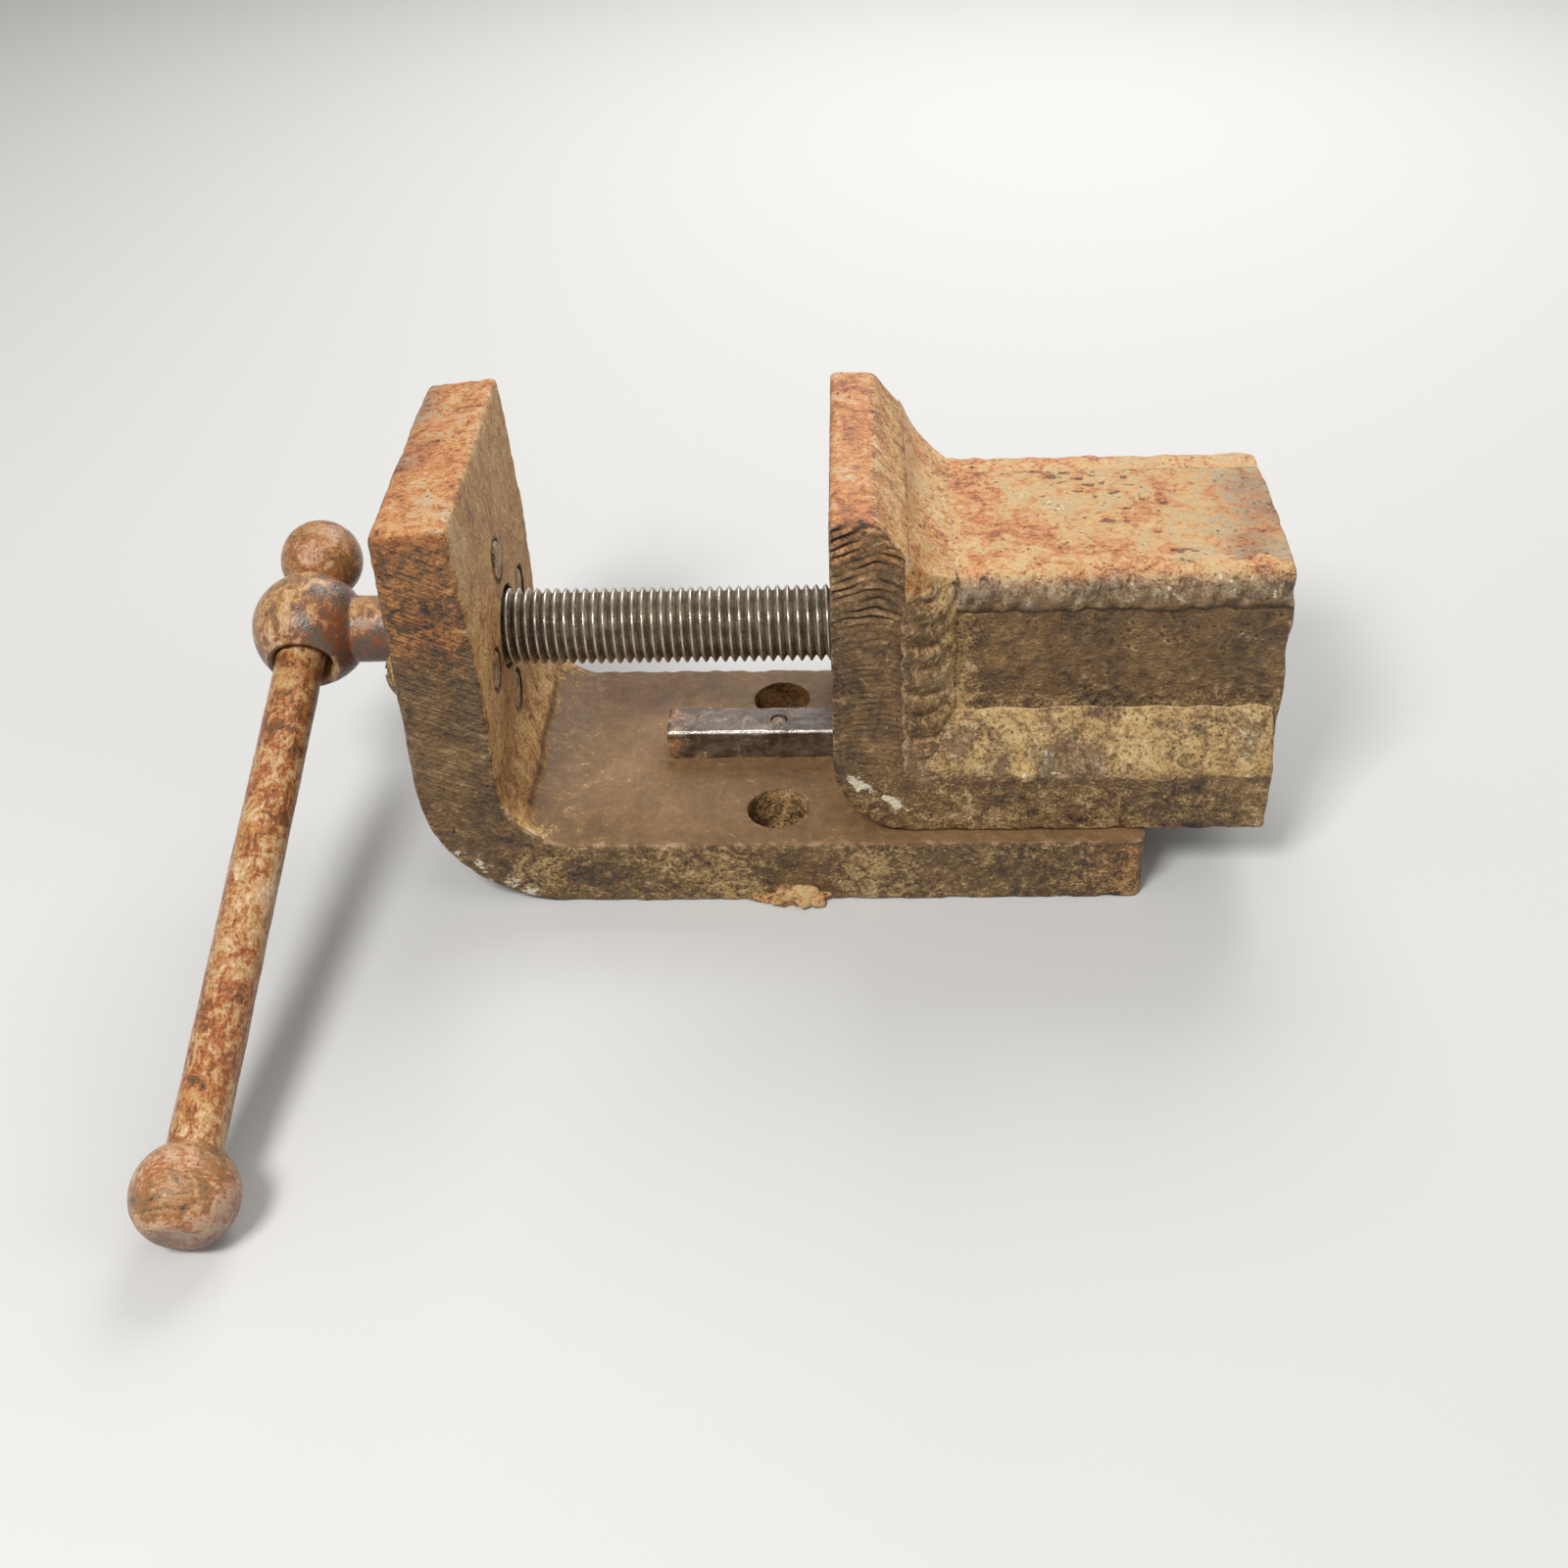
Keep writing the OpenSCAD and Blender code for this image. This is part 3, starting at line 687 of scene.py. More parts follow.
def key_finish():
    """The guide key's dark steel with bright rubbed edges."""
    dark = ((0.0, "soot"), (0.35, "umber"), (0.75, "slate"), (1.0, "scale"))
    return aged_steel("key_rust", crust=dark, stretch=(0.3, 1, 1), grit=0.7, dull=0.46, relief=0.4 * MM)


def fastener_finish():
    """Small dark fasteners."""
    return aged_steel("fastener_rust", fine=0.7, grit=0.8, dull=0.52, relief=0.35 * MM)


def thread_finish():
    """The lead screw's steel: bright crests, grey flanks and greasy roots."""
    finish = Finish("thread_steel")
    place = finish.place()
    mottle = finish.clouds(place, 4 * MM, 6, 0.65)
    speck = finish.clouds(place, 0.9 * MM, 4, 0.65)
    crest = finish.step(finish.layer("bare") + (speck - 0.5) * 0.4, 0.45, 0.8)
    flank = finish.mix(finish.step(mottle + (speck - 0.5) * 0.6, 0.42, 0.6), finish.colour("grease"),
                       finish.colour("scale"))
    root = finish.step(finish.layer("mark") + (mottle - 0.5) * 0.6, 0.45, 1.0)
    colour = finish.mix(root * 0.85, flank, finish.colour("soot"))
    rust = finish.step(finish.layer("red") + (mottle - 0.5) * 1.6, 0.5, 0.8)
    colour = finish.mix(rust * 0.55, colour, finish.colour("orange"))
    colour = finish.mix(crest, colour, finish.colour("steel"))
    roughness = 0.4 + (speck - 0.5) * 0.3 + root * 0.25 - crest * 0.14
    metallic = 0.55 - root * 0.4 - rust * 0.4 + crest * 0.25
    return finish.surface(colour, roughness, metallic, speck * 0.5 + mottle * 0.3, 0.12 * MM)


FINISHES = {}


def finish_of(maker):
    """The material that a finish function makes, made once."""
    if maker.__name__ not in FINISHES:
        FINISHES[maker.__name__] = maker()
    return FINISHES[maker.__name__]


# Bent bars

def along_bend(share, breaks, start, corner, end, radius):
    """A point on a path that runs straight, turns once on an arc and runs straight again."""
    into = (corner - start).normalized()
    out = (end - corner).normalized()
    arc_start = corner - into * radius
    arc_end = corner + out * radius
    if share < breaks[0]:
        return start.lerp(arc_start, share / breaks[0])
    if share > breaks[1]:
        return arc_end.lerp(end, (share - breaks[1]) / (1 - breaks[1]))
    turn = math.pi / 2 * (share - breaks[0]) / (breaks[1] - breaks[0])
    return arc_start + into * radius * math.sin(turn) + out * radius * (1 - math.cos(turn))


def bent_bar(outer, inner, low_y, width, step, edge):
    """A flat bar between an outer and an inner path, each a start, a corner, an end and a bend radius."""
    legs = []
    for start, corner, end, radius in (outer, inner):
        legs.append(((corner - start).length - radius, radius * math.pi / 2, (end - corner).length - radius))
    leg, arc, rise = [sum(pair) / 2 for pair in zip(*legs)]
    total = leg + arc + rise
    breaks = (leg / total, (leg + arc) / total)
    thickness = (outer[0] - inner[0]).length

    def place(co):
        share = co.x / total
        depth = co.z / thickness
        spot = along_bend(share, breaks, *outer).lerp(along_bend(share, breaks, *inner), depth)
        return Vector((spot.x, low_y + co.y, spot.y)), depth, ramp(share, breaks[1], 1)

    return block((total, width, thickness), step, edge), place


def base_frame():
    """The base bar: bent up into the fixed jaw, bored for the screw, its keeper and the table bolts."""
    size = sizes()
    face_x = BASE_LOW.x + size.fixed_foot
    base_top = KEY_LOW.z
    outer_top = BASE_HIGH.z - size.top_fall
    width = BASE_HIGH.y - BASE_LOW.y
    outer = (Vector((BASE_HIGH.x, 0)), Vector((BASE_LOW.x, 0)), Vector((BASE_LOW.x, outer_top)),
             size.outer_bend)
    inner = (Vector((BASE_HIGH.x, base_top)), Vector((face_x, base_top)), Vector((face_x, BASE_HIGH.z)),
             size.inner_bend)
    bm, place = bent_bar(outer, inner, BASE_LOW.y, width, (2.4 * MM,) * 3, size.worn_edge)
    top_round, front_round, rear_round = 2.2 * MM, 3.2 * MM, 1.5 * MM
    end_round, outer_round = 4 * MM, 2.6 * MM
    fold_depth, fold_half, fold_height, fold_wander = 1.4 * MM, 2.4 * MM, 6.0 * MM, 2.5 * MM

    def leaning(co):
        """The bar's shape: bent, leaning out at the jaw's top and rounded along its edges."""
        spot, depth, _ = place(co)
        lean = ramp(spot.z, size.lean_height, BASE_HIGH.z) * (size.fixed_foot - size.fixed_top)
        spot.x -= lean * depth
        top = outer_top + size.top_fall * depth
        rounded_corner(spot, 0, BASE_LOW.x, 2, outer_top, top_round)
        rounded_corner(spot, 0, BASE_LOW.x + size.fixed_top, 2, BASE_HIGH.z, top_round)
        for side in (BASE_LOW.y, BASE_HIGH.y):
            rounded_corner(spot, 2, top, 1, side, front_round if side < 0 else rear_round)
            rounded_corner(spot, 0, BASE_HIGH.x, 1, side, end_round)
            rounded_corner(spot, 0, BASE_LOW.x, 1, side, outer_round)
        return spot

    def fold(co, normal):
        """How deep in the fold on the inside of the bend a place is, from 0 to 1."""
        inside = ramp(normal.x, 0.1, 0.4) * ramp(normal.z, 0.1, 0.4) * ramp(co.x, -50 * MM, -58 * MM)
        height = co.z - base_top - fold_height - fold_wander * rough(Vector((0, co.y, 0)), 34 * MM)
        return inside * math.exp(-(height / fold_half) ** 2) * ramp(abs(co.y), 49 * MM, 36 * MM)

    def layers(at, normal):
        """The base's layers, with painted shade in the fold."""
        shares = base_paint(at, normal)
        # Painted shade along the fold.
        shares["soot"] += 0.6 * fold(at * MM, normal)
        return shares

    piece = refined(placed("worn_base_frame", shaped(bm, leaning)))
    weathered(piece, dent=0.35 * MM, dent_size=22 * MM, grain=0.18 * MM, bite=1.5 * MM,
              extra=lambda co, normal: -fold_depth * fold(co, normal))
    keep_in(piece, BASE_LOW, BASE_HIGH)
    bores = screw_bores(BASE_LOW.x, size.fixed_foot, bore=size.journal_radius + 0.1 * MM, mouth=0.5 * MM,
                        shank=size.keeper_shank + 0.6 * MM, shank_mouth=0.3 * MM)
    for side in (-1, 1):
        bolt_at = Vector((0, side * size.bolt_spacing / 2, 0))
        bores.append(drill(bolt_at, UPWARD, size.bolt_hole, base_top, mouth=0.5 * MM))
    carved(piece, *bores)
    dressed(piece, "base_frame", bar_finish, layers)


def rounded_corner(spot, axis_a, corner_a, axis_b, corner_b, radius):
    """Pulls a point near an edge of a bar onto an arc; the edge runs along the third axis."""
    inward_a = 1 if corner_a in (BASE_LOW.x, JAW_LOW.x) else -1
    inward_b = 1 if corner_b in (BASE_LOW.y, JAW_LOW.y) else -1
    near_a = 1 - (spot[axis_a] - corner_a) * inward_a / radius
    near_b = 1 - (spot[axis_b] - corner_b) * inward_b / radius
    if near_a > 0 and near_b > 0:
        squeeze = max(near_a, near_b) / math.hypot(near_a, near_b)
        spot[axis_a] = corner_a + inward_a * radius * (1 - near_a * squeeze)
        spot[axis_b] = corner_b + inward_b * radius * (1 - near_b * squeeze)


def keep_in(piece, low, high):
    """Presses a roughened piece back inside a box."""
    for vert in piece.data.vertices:
        for axis in range(3):
            vert.co[axis] = min(high[axis], max(low[axis], vert.co[axis]))


def keeper_spots():
    """Where the keeper screws stand round the lead screw."""
    ring = sizes().keeper_circle
    return [Vector((0, ring * math.cos(turn), ring * math.sin(turn)))
            for turn in (0, math.pi / 2, math.pi, 1.5 * math.pi)]


def screw_bores(face_x, thickness, bore, mouth, shank, shank_mouth):
    """Cutters for the lead screw's bore and the keeper screws' holes round it, through one plate."""
    face = on_screw(face_x)
    bores = [drill(face, ALONG_SCREW, bore, thickness, mouth)]
    return bores + [drill(face + spot, ALONG_SCREW, shank, thickness, shank_mouth) for spot in keeper_spots()]


def base_paint(at, normal):
    """Layers on the base bar: rust on the jaw, rubbed brown on the base, scuffs round the bend."""
    size = sizes()
    facing_front = ramp(-normal.y, 0.5, 0.8)
    facing_rear = ramp(normal.y, 0.5, 0.8)
    facing_out = ramp(-normal.x, 0.5, 0.8)
    facing_in = ramp(normal.x, 0.3, 0.7) * ramp(at.x, -40, -60)
    near_top = ramp(at.z, 110, 125)
    jaw_top = near_top * ramp(normal.z, 0.4, 0.8)
    top_edge = near_top * max(ramp(at.y, -44, -49.5), ramp(at.x, -96.5, -93)) * ramp(normal.z, 0.0, 0.4)
    outer_rear = jaw_top * ramp(at.x, -97, -112) * ramp(at.y, -45, 10)
    high_front = facing_front * ramp(at.z, 84, 104)
    ground_front = facing_front * ramp(at.z, 34, 50)
    low_front = facing_front * ramp(at.z, 28, 20)
    free_end = facing_front * ramp(at.x, 80, 112)
    bend_inside = ramp(abs(at.x + 70), 18, 4) * ramp(at.z, 44, 26) * ramp(normal.z, 0.2, 0.6)
    bend_outside = facing_front * ramp(at.x, -62, -75) * ramp(at.z, 36, 18)
    bend_rim = bend_outside * ramp(math.hypot(at.x + 67, at.z - 48), 38, 45)
    hole_off = math.hypot(at.x, abs(at.y) - size.bolt_spacing / 2 / MM) - size.bolt_hole / MM
    in_hole = ramp(hole_off, 0.8, 0.2) * ramp(at.z, 24.5, 23.5) * ramp(at.z, 0, 1)
    # Painted shade down a bolt hole: strong in the rear one, faint in the front one.
    painted_hole_shade = 0.88 if at.y > 0 else 0.04
    ring, ring_half = 7.1, 1.1

    tan = 0.06 + 0.66 * jaw_top + facing_in * (0.6 + 0.2 * ramp(at.z, 40, 110)) - 0.1 * facing_front
    red = 0.08 + 0.42 * high_front + 0.4 * free_end + 0.1 * facing_in + 0.4 * top_edge
    red += facing_out * (0.2 + 0.4 * rough(at, 30)) + 0.3 * facing_rear * rough(at, 34)
    grey = 0.14 * jaw_top + 0.42 * outer_rear + 0.3 * facing_front * ramp(abs(at.z - 66), 40, 14)
    dust = 0.12 - 0.08 * facing_front * ramp(at.z, 40, 54) + 0.5 * facing_in + 0.12 * bend_inside
    dust += 0.4 * low_front * (0.7 + rough(at, 26))
    # Painted shade on faces turned down and down the bolt holes; dirt on the ground front, and dark joints
    # round the keeper screws.
    soot = 0.55 * ramp(normal.z, -0.2, -0.6) + 0.16 * ground_front + painted_hole_shade * in_hole * ramp(at.z, 22, 6)
    for spot in keeper_spots():
        off = math.hypot(at.y - spot.y / MM, at.z - (SCREW_Z + spot.z) / MM)
        soot += 0.9 * facing_in * ramp(abs(off - ring), ring_half, 0.4)
    scratch = jaw_top * ramp(abs(at.y + 25 - 0.12 * (at.x + 100)), 1.3, 0.3) * ramp(at.x, -116, -112)
    rub = ramp(normal.z, 0.3, 0.8) * ramp(at.z, 60, 36) + 0.2 * facing_in * ramp(at.z, 120, 60)
    return {"tan": tan + 0.25 * in_hole, "red": red + 0.4 * in_hole, "grey": grey,
            "dust": dust + 0.3 * in_hole, "soot": soot, "flake": 0.42 * bend_rim + 0.5 * scratch,
            "mark": ground_front, "rub": rub}


def jaw_plate():
    """The moving jaw's bar: bent into a foot, chamfered on top, torch-cut along its sides."""
    size = sizes()
    back_x = JAW_LOW.x + size.jaw_thickness
    foot_top = JAW_LOW.z + size.foot_thickness
    slope_top = JAW_HIGH.z - size.jaw_chamfer
    inside_bend = 3 * MM
    front_round, rear_round, land_round = 2.6 * MM, 1.2 * MM, 1.6 * MM
    bold_pitch, fine_pitch, line_depth = 3.0 * MM, 2.1 * MM, 1.3 * MM
    outer = (Vector((JAW_HIGH.x, JAW_LOW.z)), Vector((JAW_LOW.x, JAW_LOW.z)),
             Vector((JAW_LOW.x, JAW_HIGH.z)), size.jaw_bend)
    inner = (Vector((JAW_HIGH.x, foot_top)), Vector((back_x, foot_top)), Vector((back_x, slope_top)),
             inside_bend)
    bm, place = bent_bar(outer, inner, JAW_LOW.y, JAW_HIGH.y - JAW_LOW.y, (1.1 * MM, 4.4 * MM, 1.6 * MM),
                         size.worn_edge)
    land = size.jaw_land / size.jaw_thickness

    def chamfered(co):
        """The bar's shape: bent, chamfered behind its land and rounded along its edges."""
        spot, depth, rise = place(co)
        flat = size.jaw_chamfer * min(depth, (1 - depth) * land / (1 - land))
        spot.z += flat * rise
        top = JAW_HIGH.z - size.jaw_chamfer * ramp(depth, land, 1)
        rounded_corner(spot, 0, JAW_LOW.x, 2, JAW_HIGH.z, land_round)
        for side in (JAW_LOW.y, JAW_HIGH.y):
            rounded_corner(spot, 2, top, 1, side, front_round if side < 0 else rear_round)
        return spot

    def groove(co):
        """How deep in a torch line a place is, from 0 to 1: bold lines high up, fine ones lower."""
        sag = 0.028 * (co.x - JAW_LOW.x - size.jaw_thickness * 0.45) ** 2 / MM
        drift = 2.4 * MM * rough(co, 15 * MM) + 0.9 * MM * rough(co, 5 * MM)
        bold = 0.5 + 0.5 * math.sin(2 * math.pi * (co.z + sag + drift) / bold_pitch)
        fine = 0.5 + 0.5 * math.sin(2 * math.pi * (co.z + sag * 0.6 + drift * 0.6) / fine_pitch)
        high = ramp(co.z, 90 * MM, 110 * MM)
        strength = min(1.2, max(0.15, 0.7 + 1.1 * rough(Vector((co.x, 0, co.z * 1.8)), 9 * MM)))
        deep = (1 - bold) ** 2 * high + 0.45 * (1 - fine) * (1 - high) * ramp(co.z, 44 * MM, 62 * MM)
        return deep * strength * ramp(co.x, back_x + 4 * MM, back_x - 1 * MM)

    def drag_lines(co, normal):
        """Curved lines that the cutting torch left across the jaw's sides."""
        return -line_depth * ramp(abs(normal.y), 0.6, 0.9) * groove(co)

    def side_paint(at, normal):
        """The jaw's layers, with painted shade in the torch lines."""
        shares = jaw_paint(at, normal)
        # Painted shade in the torch lines.
        shares["soot"] += 0.62 * ramp(abs(normal.y), 0.5, 0.8) * groove(at * MM)
        return shares

    piece = refined(placed("worn_jaw_plate", shaped(bm, chamfered)))
    weathered(piece, dent=0.3 * MM, dent_size=20 * MM, grain=0.16 * MM, bite=1.2 * MM, extra=drag_lines)
    keep_in(piece, JAW_LOW, JAW_HIGH)
    over = 10 * MM
    groove_size = (JAW_HIGH.x - JAW_LOW.x + 2 * over, KEY_HIGH.y - KEY_LOW.y + 2 * size.key_room,
                   KEY_HIGH.z - JAW_LOW.z + size.key_room + over)
    keyway = moved(block(groove_size, (8 * MM,) * 3, 1 * MM), Matrix.Translation((
        JAW_LOW.x - over, KEY_LOW.y - size.key_room, JAW_LOW.z - over)))
    hole = size.screw_radius + 0.8 * MM
    carved(piece, keyway, drill(on_screw(JAW_LOW.x), ALONG_SCREW, hole, size.jaw_thickness, mouth=0.5 * MM))
    dressed(piece, "jaw_plate", jaw_finish, side_paint)


def jaw_paint(at, normal):
    """Layers on the moving jaw: rosy land, grey-tan chamfer, dark torch-cut sides, a flaking patch of paint,
    painted shade below.
    """
    facing_front = ramp(-normal.y, 0.5, 0.8)
    facing_in = ramp(-normal.x, 0.6, 0.9)
    facing_out = ramp(normal.x, 0.5, 0.9)
    jaw_top = ramp(normal.z, 0.3, 0.7) * ramp(at.z, 118, 128)
    slope = jaw_top * ramp(normal.x, 0.2, 0.5)
    land = jaw_top - slope
    inside_welds = ramp(at.x, 40, 42) * ramp(at.z, 46, 50)
    flake_start, flake_length, flake_height, flake_fall = 24, 18, 46.5, 12.0
    along = (at.x - flake_start) / flake_length
    off = abs(at.z - flake_height + flake_fall * along)
    from_middle = abs(along - 0.5)

    tan = 0.1 + 0.62 * jaw_top - 0.18 * slope - 0.1 * facing_front + 0.35 * facing_out + 0.25 * facing_in
    red = 0.08 + 0.26 * facing_front * ramp(at.z, 108, 126) + 0.42 * land
    grey = 0.34 * slope + 0.22 * facing_front * ramp(at.z, 60, 80) + 0.2 * land * ramp(at.y, -26, -42)
    dust = 0.1 + 0.3 * facing_front * ramp(at.z, 56, 40) + slope * (0.46 + 0.28 * ramp(at.x, 36, 43))
    flake = facing_front * ramp(off, 5.2 - 2.0 * along, 0.6) * ramp(from_middle, 0.72, 0.4)
    flake *= 0.75 - 0.5 * ramp(from_middle, 0.12, 0.04)
    # Cream on the front face's top band: scuffs, and a painted highlight along the edge.
    flake += 0.22 * facing_front * ramp(at.z, 128, 136)
    # Faces turned down take painted shade in the soot layer.
    return {"tan": tan, "red": red, "grey": grey, "dust": dust, "flake": flake,
            "soot": 0.5 * ramp(normal.z, -0.2, -0.6), "worn": 1 - inside_welds}


# Housing plates

def ragged(spot, high_x):
    """How far the torch ate into the housing's open end at a place, most at its upper corners."""
    reach, corner = 9 * MM, 6 * MM
    near = ramp(spot.x, high_x - reach, high_x)
    across = Vector((0.3, spot.y / (9 * MM), spot.z / (14 * MM)))
    inside = min(spot.y - HOUSING_FRONT, HOUSING_REAR - spot.y)
    past = ramp(inside, corner, 0) * ramp(spot.z, 96 * MM, 108 * MM)
    turned_in = corner * (1 - math.sqrt(1 - min(0.98, past) ** 2))
    eaten = 0.9 * MM + 1.1 * MM * noise.noise(across) + 0.5 * MM * noise.noise(across * 3.1)
    return near * (eaten + turned_in)


# Rust pits on the top plate: place along and across, and half width, in millimetres
TOP_PITS = ((92, 31, 1.7), (96, 33, 1.1), (100, 29, 1.5), (105, 31, 1.2), (103, 25, 1.6), (108, 26, 1.1),
            (99, 21, 1.3), (111, 20, 1.6), (116, 24, 1.1), (119, 15, 1.8), (126, 12, 1.2), (114, 9, 1.1),
            (107, 2, 2.0), (112, 1, 1.4), (124, 28, 1.3), (129, 19, 1.1), (88, 18, 1.0), (122, -6, 1.1),
            (127, -17, 2.1), (132, -18, 1.3), (94, 27, 1.2), (86, 28, 1.0), (115, 29, 1.1), (105, 17, 1.0))


def pitted(at):
    """How deep in one of the top plate's rust pits a place is, from 0 to 1."""
    depth = 0.0
    if abs(at.y - 8) < 30 and 82 < at.x < 140 and at.z > 104:
        shake = 0.7 * rough(at, 2.2)
        for x, y, half in TOP_PITS:
            off = math.hypot((at.x - x) / (1.9 * half), (at.y - y) / half) + shake
            depth = max(depth, ramp(off, 1.1, 0.4))
    return depth


def housing_plate(node):
    """One plate of the housing, cut by torch at its open end and pitted on top."""
    low, high = box_of(node)
    bm = block(high - low, (2.2 * MM,) * 3, sizes().worn_edge)
    pit_depth = 0.7 * MM

    def place(co):
        spot = low + co
        spot.x -= ragged(spot, high.x)
        return spot

    def sunk(co, normal):
        """The rust pits of an upper face."""
        return -pit_depth * ramp(normal.z, 0.6, 0.9) * pitted(co / MM)

    piece = refined(placed(f"worn_{node}", shaped(bm, place)))
    weathered(piece, dent=0.4 * MM, dent_size=19 * MM, grain=0.22 * MM, grain_size=4.5 * MM, bite=0.9 * MM,
              extra=sunk)
    dressed(piece, node, plate_finish, plate_paint)


def plate_paint(at, normal):
    """Layers on the housing: orange and tan on top, scale near its end, dark sides with dust low down."""
    upper = ramp(normal.z, 0.4, 0.7)
    side = ramp(abs(normal.y), 0.5, 0.8)
    end = ramp(normal.x, 0.5, 0.9) * ramp(at.x, 120, 150)
    tan = 0.08 + upper * (0.78 - 0.3 * ramp(at.y, 29, 35)) + 0.3 * end - side * 0.08
    red = 0.1 + upper * (0.3 * ramp(at.y, -10, -22) + 0.16 * ramp(at.x, 96, 70)) + 0.2 * end
    grey = upper * (0.12 + 0.5 * ramp(at.x, 116, 150)) + 0.16 * side
    beside_weld = ramp(at.x, 69, 61) * ramp(at.x, 54, 56)
    dust = 0.08 + side * (0.38 * ramp(at.z, 78, 64) + 0.45 * beside_weld) + 0.3 * upper * ramp(at.x, 76, 58)
    return {"tan": tan, "red": red, "grey": grey, "dust": dust, "worn": ramp(at.x, 120, 150),
            "pit": 0.85 * upper * pitted(at), "flake": 0.1 * side}


# Welds

def bead(node, start, end, leg_a, leg_b, paint_rule, bulge, ripple, pitch, lump, cell=1.2 * MM, trim=None,
         square=1.0, lean=1.0, wander=0.6 * MM, sway=0.0, dome=0.0, fade=0.0):
    """A run of weld in the corner between two plates: legs, a swell and curved ripples that overlap.
    A lean below 1 moves the swell towards the first leg, whose edge sways. A dome rounds the run's start,
    and a fade calms the ripples towards the second leg."""
    run = end - start
    width = (leg_a - leg_b).length
    outward = (leg_a + leg_b).normalized()
    spill = -leg_b.normalized()
    root = 3 * MM
    bm = block((run.length, width, root), (cell, cell, root), min(1.0 * MM, width / 8))

    def wave(co):
        """Where on a ripple a place is: the swell across the run, the ripple's strength and its phase."""
        across = co.y / width
        arc = max(0.0, math.sin(math.pi * across ** lean))
        along = start + run * (co.x / run.length)
        strength = max(0.0, 1 - across) ** fade * arc ** 0.5
        curve = pitch * 0.8 * arc
        drift = 2.4 * MM * rough(along, 13 * MM)
        return arc, strength, (co.x - curve + drift) / pitch

    def place(co):
        across = co.y / width
        arc, strength, phase = wave(co)
        along = start + run * (co.x / run.length)
        ledge = math.sqrt(abs(math.sin(math.pi * phase)))
        fine = math.sin(2 * math.pi * phase * 3)
        crown = leg_a.lerp(leg_b, across)
        strayed = noise.noise(Vector((co.x / (7 * MM), 2.0 * across, 0.7)))
        crown = crown * (1 + wander / crown.length * strayed)
        height = bulge * arc ** square + ripple * (ledge - 0.75 + 0.1 * fine) * strength
        lumps = rough(along + crown, 9 * MM) + 0.4 * rough(along + crown, 4 * MM)
        height += lump * lumps * (0.3 + 0.7 * arc)
        hang = sway * (0.4 + noise.noise(Vector((co.x / (6 * MM), 3.1, 0.2)))) * (1 - across) ** 2
        swell = math.sqrt(1 - (1 - min(1.0, 0.04 + co.x / dome)) ** 2) if dome else 1.0
        spot = along + (crown + outward * height + spill * hang) * (swell * co.z / root)
        return trim(spot) if trim else spot

    # Painted shade in the creases between ripples, stored for painted to add to the soot layer.
    crease = bm.verts.layers.float.new("crease")
    for vert in bm.verts:
        _, strength, phase = wave(vert.co)
        in_crease = max(0.0, 1 - 4.0 * abs(math.sin(math.pi * phase)))
        vert[crease] = min(0.6, ripple / MM * 0.4) * strength * in_crease
    piece = refined(placed(f"worn_{node}", shaped(bm, place)))
    weathered(piece, dent=0.14 * MM, dent_size=5 * MM, grain=0.16 * MM, grain_size=2.2 * MM)
    dressed(piece, node, weld_finish, paint_rule)


def corner_paint(at, normal):
    """Grey-brown vertical runs with a little dust on their ledges."""
    return {"tan": 0.28 + 0.25 * ramp(normal.z, 0.1, 0.7), "red": 0.14, "grey": 0.36,
            "dust": 0.36 + 0.3 * ramp(at.x, 51, 57)}


def foot_paint(at, normal):
    """Yellow dust over the long runs along the foot, rubbed through to grey in places."""
    rubbed = ramp(rough(at, 17) + 0.6 * rough(at, 7), -0.25, 0.35) * ramp(at.z, 67, 58)
    return {"tan": 0.3, "red": 0.1, "grey": 0.2 + 0.3 * rubbed, "dust": 0.74 - 0.46 * rubbed,
            "flake": 0.3 * ramp(at.z, 51, 47)}


def seam_paint(at, normal):
    """Grey seam in front, orange where it meets the top plate; the rear one is as tan as the plate."""
    # Faces turned up (lit) take more tan, grey and dust, and painted glints in the flake layer; faces turned
    # down take painted shade in the soot layer.
    top = ramp(at.y, -32.5, -25) * ramp(normal.z, 0.2, 0.6)
    lit = ramp(normal.z, 0.1, 0.55)
    return {"tan": 0.2 + 0.2 * lit + 0.4 * top, "red": 0.12 + 0.3 * top * ramp(at.y, -20, -24),
            "grey": 0.32 + 0.3 * lit - 0.5 * top, "dust": 0.1 + 0.14 * lit,
            "flake": (1 - top) * lit * (0.26 + 0.1 * ramp(at.x, 105, 130)),
            "soot": 0.6 * ramp(normal.z, 0.34, -0.25)}


def top_weld_paint(at, normal):
    """Tan over the cove behind the jaw, with grains of dust along its foot."""
    return {"tan": 0.72, "red": 0.05, "grey": 0.18 * ramp(at.z, 116, 124),
            "dust": 0.3 + 0.25 * ramp(at.z, 119, 113)}


